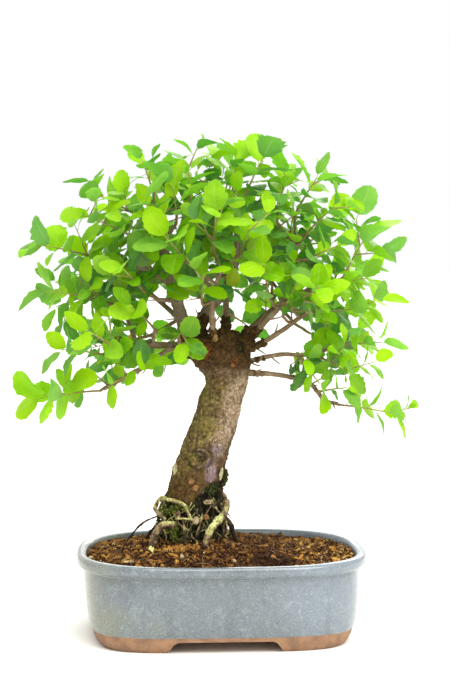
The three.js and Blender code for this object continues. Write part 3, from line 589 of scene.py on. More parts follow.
# Loose bits of soil, from dark peat to yellow wood
SOIL_GRAIN = TonedFinish(
    "soil_grain",
    ((0.0, (0.018, 0.008, 0.007)), (0.3, (0.085, 0.035, 0.011)), (0.52, (0.20, 0.085, 0.021)),
     (0.68, (0.35, 0.16, 0.036)), (0.8, (0.54, 0.265, 0.05)), (0.9, (0.72, 0.47, 0.13)),
     (1.0, (0.66, 0.56, 0.36))),
    (Speckle((0.022, 0.011, 0.005), (800, 4, 0.75), 0.56, 0.38, 0.8),),
    roughness=0.9, gloss=0.12, depth=0.35, strength=0.8)
# Weathered roots, from dark stains over pinkish brown to pale yellow; the darkest tones also carry painted
# shade
ROOT_BARK = TonedFinish(
    "root_bark",
    ((0.30, (0.018, 0.012, 0.006)), (0.46, (0.09, 0.055, 0.028)), (0.60, (0.25, 0.17, 0.10)),
     (0.76, (0.43, 0.40, 0.13)), (0.95, (0.68, 0.67, 0.30))),
    (Speckle((0.04, 0.025, 0.012), (600, 4, 0.65), 0.5, 0.34, 0.85),),
    roughness=0.85, gloss=0.2, depth=1.0, strength=1.0, stain=1.1)
# Bark of limbs and twigs: tone 0 is old grey wood and 1 a young green stem
TWIG_BARK = TonedFinish(
    "twig_bark",
    ((0.0, (0.06, 0.036, 0.018)), (0.12, (0.19, 0.14, 0.092)), (0.3, (0.26, 0.165, 0.09)),
     (0.6, (0.27, 0.19, 0.07)), (0.8, (0.33, 0.34, 0.06)), (1.0, (0.30, 0.42, 0.04))),
    (Speckle((0.42, 0.34, 0.24), (110, 3, 0.55), 0.5, 0.68, 0.5),
     Speckle((0.06, 0.038, 0.02), (700, 4, 0.65), 0.47, 0.32, 0.75)),
    roughness=0.8, gloss=0.2, depth=0.5, strength=0.8)
# Pale wood of old saw cuts and callus balls
CUT_WOOD = TonedFinish(
    "cut_wood",
    ((0.0, (0.18, 0.065, 0.02)), (0.35, (0.29, 0.15, 0.055)), (0.6, (0.40, 0.28, 0.12)),
     (0.8, (0.42, 0.37, 0.26)), (1.0, (0.72, 0.70, 0.24))),
    (Speckle((0.16, 0.085, 0.03), (260, 3, 0.55), 0.52, 0.36, 0.75),
     Speckle((0.08, 0.045, 0.018), (800, 4, 0.65), 0.48, 0.32, 0.7)),
    roughness=0.8, gloss=0.2, depth=0.6, strength=0.9)
# Small tufts of moss, from olive to bright green
MOSS = TonedFinish(
    "moss",
    ((0.0, (0.03, 0.04, 0.006)), (0.5, (0.13, 0.16, 0.012)), (1.0, (0.38, 0.42, 0.04))),
    (Speckle((0.03, 0.035, 0.01), (500, 3, 0.55), 0.55, 0.35, 0.5),),
    roughness=0.8, gloss=0.5, depth=0.3, strength=0.6)


@dataclass(frozen=True)
class TrunkBark:
    """Rough pebbly bark: olive with lichen on the shaded side, painted darker there as shade, and pale
    pinkish beige, painted as lit, on the other.

    The mesh carries five weights: one where lichen grows, which also paints the shade of the side
    that faces away from the light; dark, where the bark is darker brown, low on the trunk and on the
    head; mauve, where young bark shows; wound, where the cut wood is orange; and one where the wood
    is torn open, which also paints the shade of the torn hollow and of the knot's grooves.
    """

    # Painted shade in the bark's furrows
    furrow_shade: Colour = (0.045, 0.026, 0.012)
    olive: Colour = (0.155, 0.112, 0.034)
    lichen: Colour = (0.225, 0.175, 0.045)
    pink: Colour = (0.42, 0.30, 0.195)
    grain: Colour = (0.66, 0.54, 0.38)
    grit: Colour = (0.43, 0.34, 0.145)
    brown: Colour = (0.12, 0.07, 0.028)
    stain: Colour = (0.145, 0.098, 0.009)
    rust: Colour = (0.20, 0.075, 0.018)
    mauve: Colour = (0.24, 0.165, 0.172)
    wound: Colour = (0.27, 0.085, 0.018)
    # Near black: torn wood, and the painted shade of the torn hollow and of the knot's grooves
    rot_and_shade: Colour = (0.012, 0.010, 0.005)
    bare: Colour = (0.72, 0.60, 0.49)
    crack: Colour = (0.12, 0.072, 0.038)
    lean: float = 0.3
    # Darker bark along its grain, then the threads of young bark: their pale, paler and dark colours
    darkening: Stops = ((0.36, (0.018, 0.009, 0.004)), (0.5, (0.055, 0.024, 0.005)),
                   (0.62, (0.12, 0.058, 0.011)), (0.7, (0.19, 0.11, 0.02)))
    threads: tuple[Colour, ...] = ((0.38, 0.29, 0.27), (0.46, 0.37, 0.38), (0.10, 0.055, 0.04))
    wound_shade: Colour = (0.05, 0.016, 0.006)
    rot_moss: Colour = (0.03, 0.045, 0.008)
    rot_fibre: Colour = (0.22, 0.18, 0.085)

    def material(self) -> Material:
        """Makes the bark's material."""
        shader = Shader("trunk_bark", Specular_IOR_Level=0.12)
        turn = (0, -self.lean, 0)
        grit, fine, speck = shader.noise(300, 7, 0.72), shader.noise(520, 5, 0.75), shader.noise(1100, 3, 0.7)
        patches, stains = shader.noise(75, 4, 0.6), shader.noise(130, 4, 0.65)
        creases = shader.noise(230, 5, 0.62, shader.place((1, 1, 0.28), turn))
        threads = shader.noise(560, 3, 0.6, shader.place((1, 1, 0.12), turn))
        # This weight paints shade as well as lichen: it is high on the side that faces away from the light.
        lichen_and_shade = shader.attribute("lichen_and_shade")
        base = shader.layers(self.pink, (self.olive, lichen_and_shade, 0.25, 0.75, 1))
        lichen = shader.times(shader.rise(lichen_and_shade, 0.2, 0.8), shader.rise(patches, 0.48, 0.6))
        grain = shader.layers(self.grain, (self.grit, lichen_and_shade, 0.25, 0.7, 1))
        base = shader.layers(shader.mix(lichen, base, self.lichen), (self.brown, patches, 0.52, 0.4, 0.7),
                             (grain, grit, 0.52, 0.66, 0.75))
        # Painted light: pale bare bark shows only where the weight is low, on the lit side.
        bare = shader.times(shader.rise(fine, 0.55, 0.66, 0.0, 0.6), shader.rise(lichen_and_shade, 0.6, 0.2))
        base = shader.mix(bare, base, self.bare)
        stained = shader.times(shader.rise(stains, 0.52, 0.6, 0.0, 0.8), lichen_and_shade)
        darkening = shader.mix(stained, shader.ramp(grit, self.darkening), self.stain)
        darkening = shader.layers(darkening, (self.rust, stains, 0.44, 0.36, 0.7))
        base = shader.mix(shader.attribute("dark"), base, darkening)
        pale, paler, dark = self.threads
        mauve = shader.layers(self.mauve, (pale, grit, 0.5, 0.64, 0.5), (paler, threads, 0.5, 0.64, 0.7),
                              (dark, threads, 0.46, 0.36, 0.7))
        base = shader.mix(shader.attribute("mauve"), base, mauve)
        base = shader.layers(base, (self.crack, fine, 0.52, 0.39, 0.8))
        # Painted shade: the low spots of the grit and the creases, which are also the relief's lows, take the
        # furrow colour, more on the shaded side.
        shaded = shader.rise(lichen_and_shade, 0.15, 0.6, 0.3)
        for pits, low, high in ((grit, 0.48, 0.36), (creases, 0.43, 0.33)):
            base = shader.mix(shader.times(shader.rise(pits, low, high, 0.0, 0.9), shaded), base, self.furrow_shade)
        wound = shader.layers(self.wound_shade, (self.wound, grit, 0.4, 0.6, 1))
        rot_and_shade = shader.layers(self.rot_and_shade, (self.rot_moss, patches, 0.52, 0.6, 0.6),
                            (self.rot_fibre, threads, 0.57, 0.68, 0.7))
        for weight, colour in (("wound", wound), ("rot_and_shade", rot_and_shade)):
            base = shader.mix(shader.attribute(weight), base, colour)
        relief = shader.plus(shader.plus(grit, shader.times(speck, 0.3)), shader.times(creases, 0.5))
        return shader.finish(base, shader.rise(speck, 0.3, 0.7, 0.8, 0.97), relief, 1.6)


class LeafSide(Enum):
    """The two faces of a leaf, which differ in colour and gloss."""

    TOP = "leaf_top"
    UNDER = "leaf_under"


@dataclass(frozen=True)
class LeafSkin:
    """One face of the leaves: glossy green above, matt and paler below, with veins.

    The UV map has the leaf's width along U and its length along V, with the midrib at U 0.5. Tone
    runs from the dark old leaves inside the crown to bright young ones, and on to yellow.
    """

    side: LeafSide
    tones: Stops
    light: Stops
    vein: Colour
    roughness: tuple[float, float]
    gloss: float
    tint: Colour = (0.85, 1.0, 0.12)  # of the skin's highlights
    share_through: float = 0.5
    vein_pairs: float = 7.0
    # The cooler skin and light colours stand partly for a painted reflection of the sky on glossy leaves.
    cool_and_sheen: tuple[Colour, Colour] = ((0.09, 0.29, 0.11), (0.20, 0.55, 0.14))  # skin and light
    warm: tuple[Colour, Colour] = ((0.365, 0.57, 0.0), (0.59, 0.87, 0.0))

    def veins(self, shader: Shader) -> tuple[Socket, Socket, Socket]:
        """Makes the veins' patterns.

        Args:
            shader: the leaf's shader.

        Returns:
            The midrib, the side veins and the pale margin as numbers from 0 to 1.
        """
        across, along, _ = shader.node("SeparateXYZ", shader.node("UVMap", uv_map="leaf").outputs[0]).outputs
        away = shader.math("ABSOLUTE", shader.math("SUBTRACT", across, 0.5))
        along = shader.math("SUBTRACT", shader.times(along, self.vein_pairs), shader.times(away, 3.0))
        phase = shader.math("ABSOLUTE", shader.math("SUBTRACT", shader.math("FRACT", along), 0.5))
        return (shader.rise(away, 0.035, 0.012), shader.rise(phase, 0.11, 0.03),
                shader.rise(away, 0.462, 0.49, 0.0, 0.7))

    def material(self) -> Material:
        """Makes the leaf face's material."""
        shader = Shader(self.side.value, Specular_IOR_Level=self.gloss, Specular_Tint=self.tint)
        midrib, side_veins, margin = self.veins(shader)
        tone = shader.attribute("tone")
        cloud = shader.noise(55, 3)
        mottled = shader.plus(tone, shader.rise(cloud, 0.34, 0.66, -0.13, 0.13))
        own = shader.math("FRACT", shader.times(tone, 53.0))  # a number that differs from leaf to leaf

        def hued(stops: Stops, place: int) -> Socket:
            """The ramp's colour, turned cooler or warmer from leaf to leaf; the cooler bluish green is partly
            a painted reflection of the sky.
            """
            return shader.layers(shader.ramp(mottled, stops), (self.cool_and_sheen[place], own, 0.45, 0.05, 0.55),
                                 (self.warm[place], own, 0.6, 1.0, 0.75))

        base = shader.mix(shader.times(side_veins, 0.2), hued(self.tones, 0), self.vein)
        base = shader.mix(shader.times(shader.math("MAXIMUM", midrib, margin), 0.65), base, self.vein)
        relief = shader.plus(shader.times(shader.noise(1500, 2), 0.25), shader.plus(midrib, side_veins))
        shader.finish(base, shader.rise(cloud, 0.3, 0.7, *self.roughness), relief, 0.25, 0.7)
        through = shader.node("BsdfTranslucent", hued(self.light, 1)).outputs[0]
        both = shader.node("MixShader", self.share_through, shader.surface.outputs[0], through).outputs[0]
        shader.feed(shader.tree.nodes["Material Output"].inputs["Surface"], both)
        return shader.material


LEAF_TOP = LeafSkin(
    LeafSide.TOP,
    tones=(
        (0.0, (0.05, 0.16, 0.012)), (0.12, (0.135, 0.34, 0.002)), (0.3, (0.215, 0.45, 0.002)),
        (0.5, (0.325, 0.57, 0.005)), (0.78, (0.48, 0.74, 0.03)), (0.9, (0.58, 0.62, 0.02)),
        (1.0, (0.78, 0.42, 0.02)),
    ),
    light=(
        (0.0, (0.13, 0.38, 0.01)), (0.15, (0.34, 0.72, 0.0)), (0.5, (0.53, 0.94, 0.0)),
        (0.78, (0.54, 0.94, 0.01)), (0.9, (0.85, 0.85, 0.03)), (1.0, (0.95, 0.55, 0.03)),
    ),
    vein=(0.45, 0.62, 0.10),
    roughness=(0.28, 0.42),
    gloss=0.6,
)
LEAF_UNDER = LeafSkin(
    LeafSide.UNDER,
    tones=(
        (0.0, (0.19, 0.27, 0.12)), (0.4, (0.28, 0.40, 0.16)), (0.75, (0.40, 0.56, 0.17)),
        (0.88, (0.55, 0.56, 0.14)), (1.0, (0.72, 0.42, 0.08)),
    ),
    light=LEAF_TOP.light,
    vein=(0.55, 0.64, 0.30),
    roughness=(0.6, 0.8),
    gloss=0.2,
)


@dataclass(frozen=True)
class StudioFloor:
    """Plain near-white paper."""

    def material(self) -> Material:
        """Makes the paper's material."""
        shader = Shader("studio_floor", Roughness=0.9, Specular_IOR_Level=0.1)
        return shader.finish(shader.mix(shader.noise(3, 2), (0.90, 0.89, 0.84), (0.92, 0.91, 0.86)))


# Modelling tools


@dataclass(frozen=True)
class Pattern:
    """One small shape, modelled once, that many copies are made from."""

    corners: list[Vec]
    faces: list[Face]
    slots: list[int]
    uvs: list[tuple[float, float]]

    @classmethod
    def taken_from(cls, model: Thing) -> "Pattern":
        """Reads a modelled object's mesh as it is and removes the object.

        Args:
            model: the object, whose coordinates are the pattern's own units.

        Returns:
            The pattern.
        """
        mesh = model.data
        corners = [Vec(*corner.co) for corner in mesh.vertices]
        faces = [tuple(face.vertices) for face in mesh.polygons]
        slots = [face.material_index for face in mesh.polygons]
        uvs = [tuple(uv.uv) for uv in mesh.uv_layers[0].data] if mesh.uv_layers else []
        bpy.data.objects.remove(model)
        return cls(corners, faces, slots, uvs or [(0.0, 0.0)] * sum(map(len, faces)))


@dataclass
class Pile:
    """Gathers the corners, faces, UVs and tones of all that one piece is made of."""

    corners: list[Vec] = field(default_factory=list)
    faces: list[Face] = field(default_factory=list)
    slots: list[int] = field(default_factory=list)
    uvs: list[tuple[float, float]] = field(default_factory=list)
    tones: list[float] = field(default_factory=list)

    def add(self, pattern: Pattern, spot: Callable[[Vec], Vec], tone: float) -> None:
        """Adds a copy of a pattern.

        Args:
            pattern: the shape to copy.
            spot: where each corner of it goes.
            tone: the copy's own shade.
        """
        first = len(self.corners)
        self.corners.extend(spot(corner) for corner in pattern.corners)
        self.faces.extend(tuple(first + i for i in face) for face in pattern.faces)
        self.slots.extend(pattern.slots)
        self.uvs.extend(pattern.uvs)
        self.tones.extend([tone] * len(pattern.corners))

    def tube(self, path: Sequence[Vec], radii: Sequence[float], sides: int, slot: int = 0,
             tones: Sequence[float] = (0.0,), rough: float = 0.0, top: float = 0.0) -> None:
        """Adds a closed round rod along a path.

        Args:
            path: the points that its middle passes through.
            radii: its radius at each point.
            sides: how many sides it has.
            slot: its material slot.
            tones: its shade at each point, or one for all.
            rough: how uneven its surface is, as a share of its radius.
            top: how much its tone rises on its upper side, a painted highlight.
        """
        first = len(self.corners)
        shades = list(tones) * (len(path) if len(tones) == 1 else 1)
        run = (path[1] - path[0]).unit()
        across = run.cross(Vec(0, 0, 1) if abs(run.z) < 0.9 else Vec(1, 0, 0)).unit()
        for step, (middle, radius) in enumerate(zip(path, radii)):
            run = (path[min(step + 1, len(path) - 1)] - path[max(step - 1, 0)]).unit()
            across = (across - run * across.dot(run)).unit()
            third = run.cross(across)
            for i in range(sides):
                angle = 2 * math.pi * i / sides
                out = across * math.cos(angle) + third * math.sin(angle)
                corner = middle + out * radius
                if rough:
                    uneven = lumps(corner, 2.2 + radius) + 0.6 * lumps(corner)
                    corner = corner + out * (radius * rough * uneven)
                self.corners.append(corner)
                # Painted highlight: the rod's upper side gets a paler tone.
                self.tones.append(shades[step] + top * out.z)
        for step in range(len(path) - 1):
            low = first + step * sides
            for i in range(sides):
                after = (i + 1) % sides
                self.faces.append((low + i, low + after, low + sides + after, low + sides + i))
        last = first + (len(path) - 1) * sides
        self.faces.append(tuple(reversed(range(first, first + sides))))
        self.faces.append(tuple(range(last, last + sides)))
        spans = (len(path) - 1) * sides
        self.slots.extend([slot] * (spans + 2))
        self.uvs.extend([(0.0, 0.0)] * (spans * 4 + 2 * sides))

    def piece(self, name: str, *materials: Material) -> Thing:
        """Makes the piece's mesh, in metres in the row's frame.

        Args:
            name: the piece's name.
            materials: its material slots in order.

        Returns:
            The piece.
        """
        mesh = bpy.data.meshes.new(name)
        mesh.from_pydata([metres(corner) for corner in self.corners], [], self.faces)
        made = bpy.data.objects.new(name, mesh)
        bpy.context.scene.collection.objects.link(made)
        dress(made, *materials)
        mesh.polygons.foreach_set("material_index", self.slots)
        mesh.uv_layers.new(name="leaf").data.foreach_set("uv", [part for uv in self.uvs for part in uv])
        weigh(made, "tone", self.tones)
        return made


def select_only(*things: Thing) -> None:
    """Deselects everything, then selects these objects and makes the last one active."""
    if bpy.context.mode != "OBJECT":
        bpy.ops.object.mode_set(mode="OBJECT")
    bpy.ops.object.select_all(action="DESELECT")
    for thing in things:
        thing.select_set(True)
        bpy.context.view_layer.objects.active = thing


def add_shape(kind: str, name: str = "tool", **sizes: object) -> Thing:
    """Adds one of Blender's primitives with nothing else selected.

    Args:
        kind: the primitive, such as circle.
        name: the new object's name.
        sizes: the primitive's own settings.

    Returns:
        The new object.
    """
    select_only()
    getattr(bpy.ops.mesh, f"primitive_{kind}_add")(**sizes)
    bpy.context.object.name = name
    return bpy.context.object


@contextmanager
def editing(piece: Thing, kind: str = "", wanted: Callable[..., bool] = bool) -> Iterator[None]:
    """Edits a piece with all of it selected, or with some of its faces or edges, then leaves edit mode.

    Args:
        piece: the piece.
        kind: FACE or EDGE where only some are selected.
        wanted: tells which ones.
    """
    select_only(piece)
    bpy.ops.object.mode_set(mode="EDIT")
    if kind:
        bpy.ops.mesh.select_mode(type=kind)
    bpy.ops.mesh.select_all(action="DESELECT" if kind else "SELECT")
    if kind:
        bpy.ops.object.mode_set(mode="OBJECT")
        for part in piece.data.polygons if kind == "FACE" else piece.data.edges:
            part.select = wanted(part)
        bpy.ops.object.mode_set(mode="EDIT")
    yield
    bpy.ops.object.mode_set(mode="OBJECT")


def dress(piece: Thing, *materials: Material) -> None:
    """Gives a piece its materials in place of any that it has."""
    piece.data.materials.clear()
    for material in materials:
        piece.data.materials.append(material)


def weigh(piece: Thing, name: str, values: Sequence[float]) -> None:
    """Gives each corner of a piece a number that its material reads by name."""
    piece.data.attributes.new(name, "FLOAT", "POINT").data.foreach_set("value", values)


def put(piece: Thing, centre: Vec, turn: Matrix, sizes: Sequence[float], apply: bool = True) -> None:
    """Sizes, turns and places a piece that was modelled about the origin.

    Args:
        piece: the piece.
        centre: where its origin goes.
        turn: its turn, as a matrix of four rows.
        sizes: how many millimetres one of its own units is along each axis.
        apply: whether its place becomes part of its mesh.
    """
    grow = Matrix.Diagonal((*(Vector(sizes) * MM), 1))
    piece.matrix_world = Matrix.Translation(metres(centre)) @ turn @ grow
    if apply:
        apply_place(piece)


def apply_place(piece: Thing) -> None:
    """Makes a piece's place part of its mesh."""
    select_only(piece)
    bpy.ops.object.transform_apply(location=True, rotation=True, scale=True)


def apply_modifier(piece: Thing, kind: str, **settings: object) -> None:
    """Adds a modifier to a piece, sets it and applies it."""
    select_only(piece)
    made = piece.modifiers.new(kind.lower(), kind)
    for option, value in settings.items():
        setattr(made, option, value)
    bpy.ops.object.modifier_apply(modifier=made.name)


def cut_away(piece: Thing, tool: Thing) -> None:
    """Cuts one modelled object out of another and removes it."""
    apply_modifier(piece, "BOOLEAN", operation="DIFFERENCE", solver="EXACT", object=tool)
    bpy.data.objects.remove(tool)


def finish_piece(piece: Thing, slot: str, smooth: float = 40, replaced: str = "") -> None:
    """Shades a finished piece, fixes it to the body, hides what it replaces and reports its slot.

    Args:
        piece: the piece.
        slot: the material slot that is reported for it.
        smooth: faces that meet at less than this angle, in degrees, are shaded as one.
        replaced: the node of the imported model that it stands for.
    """
    apply_place(piece)
    bpy.ops.object.shade_smooth_by_angle(angle=math.radians(smooth))
    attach(piece, BODY)
    if replaced:
        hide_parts(replaced)
    log.info("%s: %d faces, slot %s", piece.name, len(piece.data.polygons), slot)


class Level(NamedTuple):
    """One ring of a form that is stacked up from rings: its centre and its half sizes."""

    z: float
    half_width: float
    half_depth: float
    x: float = 0.0
    y: float = 0.0


def stack(name: str, plan: Curve, levels: Sequence[Level]) -> Thing:
    """Models a closed form by extruding and resizing a ring, level by level.

    Args:
        name: the form's name.
        plan: the ring's outline, one wide and one deep each way.
        levels: the rings from the first to the last.

    Returns:
        The form, closed at both ends.
    """
    start = levels[0]
    form = add_shape("circle", name, vertices=len(plan), radius=1, fill_type="NGON")
    for corner, (x, y) in zip(form.data.vertices, plan):
        corner.co = metres(Vec(start.x + x * start.half_width, start.y + y * start.half_depth, start.z))
    with editing(form):
        for low, high in zip(levels, levels[1:]):
            step = Vector((high.x - low.x, high.y - low.y, high.z - low.z)) * MM
            bpy.ops.mesh.extrude_region_move(TRANSFORM_OT_translate={"value": step})
            grow = (high.half_width / low.half_width, high.half_depth / low.half_depth, 1)
            bpy.ops.transform.resize(value=grow, center_override=metres(Vec(high.x, high.y, high.z)))
        bpy.ops.mesh.select_all(action="SELECT")
        bpy.ops.mesh.normals_make_consistent(inside=False)
    return form


def lowness(z: float) -> float:
    """How near the ground a height of the pot is, from 0 at the lip to 1."""
    return clamp(1 - z / WALL_TOP)


def plan_power(z: float) -> float:
    """How square the pot's plan is at a height."""
    return LIP_POWER + (FOOT_POWER - LIP_POWER) * lowness(z)


def powered(value: float, power: float) -> float:
    """A number raised to a power, with its sign kept."""
    return math.copysign(abs(value) ** power, value)


def rounded_plan(sides: int, power: float) -> list[tuple[float, float]]:
    """An oval with squared shoulders: power 2 is an ellipse and larger is squarer."""
    angles = (2 * math.pi * i / sides for i in range(sides))
    return [(powered(math.cos(angle), 2 / power), powered(math.sin(angle), 2 / power)) for angle in angles]


def squared(form: Thing, sides: int, levels: Sequence[Level]) -> None:
    """Makes a stacked form's rings squarer towards the ground, as the pot's plan is.

    Args:
        form: the form, stacked from rings with the lip's plan.
        sides: how many corners each ring has.
        levels: the rings that it was stacked from.
    """
    for corner in form.data.vertices:
        level = levels[corner.index // sides]
        place = millimetres(corner.co)
        share = LIP_POWER / plan_power(level.z)
        corner.co = metres(Vec(powered(place.x / level.half_width, share) * level.half_width,
                               powered(place.y / level.half_depth, share) * level.half_depth, place.z))


def smooth_path(points: Sequence[Sequence[float]], steps: int) -> list[Vec]:
    """A uniform Catmull-Rom curve through points, at even steps of its own parameter.

    Args:
        points: the points that it passes through.
        steps: how many stretches it is divided into.

    Returns:
        The points at the ends of the stretches.
    """
    stops = [Vec(*point) for point in points]
    stops = [stops[0] * 2 - stops[1], *stops, stops[-1] * 2 - stops[-2]]
    path = []
    for step in range(steps + 1):
        place = step / steps * (len(points) - 1)
        span = min(int(place), len(points) - 2)
        t = place - span
        before, start, end, after = stops[span:span + 4]
        first, last = (end - before) * 0.5, (after - start) * 0.5
        bulge = (start - end) * 2 + first + last
        bend = (end - start) * 3 - first * 2 - last
        path.append(start + first * t + bend * (t * t) + bulge * (t * t * t))
    return path


# The way the crown grows


class Draw:
    """A repeatable stream of numbers from 0 to 1."""

    def __init__(self, seed: int) -> None:
        """Starts the stream at a seed."""
        self.state = seed

    def next(self) -> float:
        """The stream's next number."""
        self.state = (self.state * 16807) % 2147483647
        return self.state / 2147483647

    def between(self, low: float, high: float) -> float:
        """The stream's next number, from low to high."""
        return low + (high - low) * self.next()


@dataclass(frozen=True)
class Bend:
    """A curve with one bend, along which a twig or a stem runs."""

    start: Vec
    middle: Vec
    end: Vec

    def point(self, share: float) -> Vec:
        """The point at a share of the curve."""
        rest = 1 - share
        return self.start * (rest * rest) + self.middle * (2 * rest * share) + self.end * (share * share)

    def heading(self, share: float) -> Vec:
        """The curve's direction at a share of it."""
        return ((self.middle - self.start) * (1 - share) + (self.end - self.middle) * share).unit()


@dataclass(frozen=True)
class Shoot:
    """A leafy shoot: where it starts, how far its leaves reach and how many it bears."""

    name: str
    base: Vec
    reach: Vec
    leaf_count: int
    leaf_length: float

    def stem(self, gap: float = 0.35, share: float = 0.8) -> Bend:
        """Draws the shoot's green stem.

        Args:
            gap: how far from the end of the twig it starts.
            share: how much of the shoot's reach it takes up.

        Returns:
            The stem's curve.
        """
        run = self.reach - self.base
        length = run.length() * share
        heading = run.unit()
        first = self.base + heading * gap
        last = self.base + heading * length
        middle = first.toward(last, 0.5)
        return Bend(first, Vec(middle.x, middle.y, middle.z + length * 0.04), last)


@dataclass(frozen=True)
class Leaf:
    """A leaf's stance: where it joins the stem, its three axes, its length and its width."""

    base: Vec
    heading: Vec
    side: Vec
    face: Vec
    twist: float
    length: float
    width: float
    share: float


class Box:
    """The space that a stretch of wood, stem or leaf fills."""

    def __init__(self, middle: Vec, axes: tuple[Vec, Vec, Vec], halves: tuple[float, float, float],
                 owner: int | str) -> None:
        """Sets a box in space.

        Args:
            middle: its middle.
            axes: its three unit axes.
            halves: its half sizes along them.
            owner: the shoot that it belongs to, or the wood.
        """
        self.middle = middle
        self.axes = axes
        self.halves = halves
        self.owner = owner
        self.reach = math.hypot(*halves)
        self.neck: Box | None = None
        self.blade: Box | None = None

    @classmethod
    def along(cls, first: Vec, last: Vec, radius: float, owner: int | str) -> "Box":
        """The box round a stretch of wood or stem between two points.

        Args:
            first: where the stretch starts.
            last: where it ends.
            radius: its radius.
            owner: the shoot that it belongs to, or the wood.

        Returns:
            The box.
        """
        run = last - first
        length = run.length()
        run = run * (1 / length)
        guide = Vec(0, 0, 1) if abs(run.z) < 0.9 else Vec(1, 0, 0)
        across = guide.cross(run).unit()
        halves = (length / 2 + radius * 0.5, radius, radius)
        return cls(first.toward(last, 0.5), (run, across, run.cross(across)), halves, owner)

    @classmethod
    def of_leaf(cls, leaf: Leaf, first: float, last: float, half_width: float, half_depth: float,
                owner: int) -> "Box":
        """The box round a stretch of a leaf.

        Args:
            leaf: the leaf.
            first: the share of its length where the stretch starts.
            last: the share where it ends.
            half_width: half the box's width.
            half_depth: half its depth.
            owner: the leaf's shoot.

        Returns:
            The box.
        """
        middle = leaf.base + leaf.heading * (leaf.length * (first + last) / 2)
        halves = (leaf.length * (last - first) / 2, half_width, half_depth)
        return cls(middle, (leaf.heading, leaf.side, leaf.face), halves, owner)

    def meets(self, other: "Box", gap: float) -> bool:
        """Tells whether another box comes nearer than a gap, by the separating axis test.

        Args:
            other: the other box.
            gap: the gap.

        Returns:
            Whether it does.
        """
        between = other.middle - self.middle
        far = self.reach + other.reach + gap
        if between.dot(between) > far * far:
            return False
        for axis in (*self.axes, *other.axes):
            if self.parted(other, between, axis, gap):
                return False
        for mine in self.axes:
            for theirs in other.axes:
                if self.parted(other, between, mine.cross(theirs), gap):
                    return False
        return True

    def parted(self, other: "Box", between: Vec, axis: Vec, gap: float) -> bool:
        """Tells whether the shadows of two boxes on an axis lie further apart than a gap.

        Args:
            other: the other box.
            between: the way from this box's middle to the other's.
            axis: the axis, of any length.
            gap: the gap.

        Returns:
            Whether they do.
        """
        size = axis.length()
        if size < 1e-6:
            return False
        spread = gap * size
        for half, own in zip(self.halves, self.axes):
            spread += half * abs(own.dot(axis))
        for half, own in zip(other.halves, other.axes):
            spread += half * abs(own.dot(axis))
        return abs(between.dot(axis)) > spread


def limb_stations() -> list[list[tuple[Vec, float]]]:
    """Each limb's points at even steps, with the limb's radius there."""
    limbs = []
    for first, last, points in LIMBS:
        path = smooth_path(points, STATIONS)
        limbs.append([(place, first + (last - first) * i / STATIONS) for i, place in enumerate(path)])
    return limbs


@dataclass(frozen=True)
class Room:
    """How much room leaves ask for: the gaps kept to others and to their own shoot, in millimetres."""

    gap: float
    own_gap: float
    half_depth: float
    tries: int


MAIN_ROOM = Room(gap=0.4, own_gap=0.2, half_depth=2.5, tries=24)
SIDE_ROOM = Room(gap=0.0, own_gap=0.0, half_depth=1.2, tries=14)


@dataclass
class Thicket:
    """The boxes already taken, sorted into cubes of space so that only near ones are compared."""

    cube: float = 28.0
    cubes: dict[tuple[int, int, int], list[Box]] = field(default_factory=dict)

    def keys(self, box: Box) -> list[tuple[int, int, int]]:
        """The cubes that a box may reach into.

        Args:
            box: the box.

        Returns:
            The number of each cube along x, y and z.
        """
        spans = []
        for middle in box.middle:
            low = math.floor((middle - box.reach) / self.cube)
            high = math.floor((middle + box.reach) / self.cube)
            spans.append(range(low, high + 1))
        return [(x, y, z) for x in spans[0] for y in spans[1] for z in spans[2]]

    def add(self, box: Box) -> None:
        """Takes a box's room."""
        for key in self.keys(box):
            self.cubes.setdefault(key, []).append(box)

    def drop(self, box: Box) -> None:
        """Gives a box's room back."""
        for key in self.keys(box):
            self.cubes[key].remove(box)

    def near(self, box: Box) -> list[Box]:
        """The boxes that share a cube with this one, each once."""
        found: dict[int, Box] = {}
        for key in self.keys(box):
            for other in self.cubes.get(key, ()):
                found[id(other)] = other
        return list(found.values())


@dataclass(frozen=True)
class Twig:
    """A woody twig: its course, its radius at its foot and at its tip."""

    course: Bend
    first: float
    last: float = 1.3


class Bud(NamedTuple):
    """A place where a side shoot may leave the wood, with the main shoot that stands nearest."""

    nearest: int
    place: Vec
    run: Vec
    radius: float


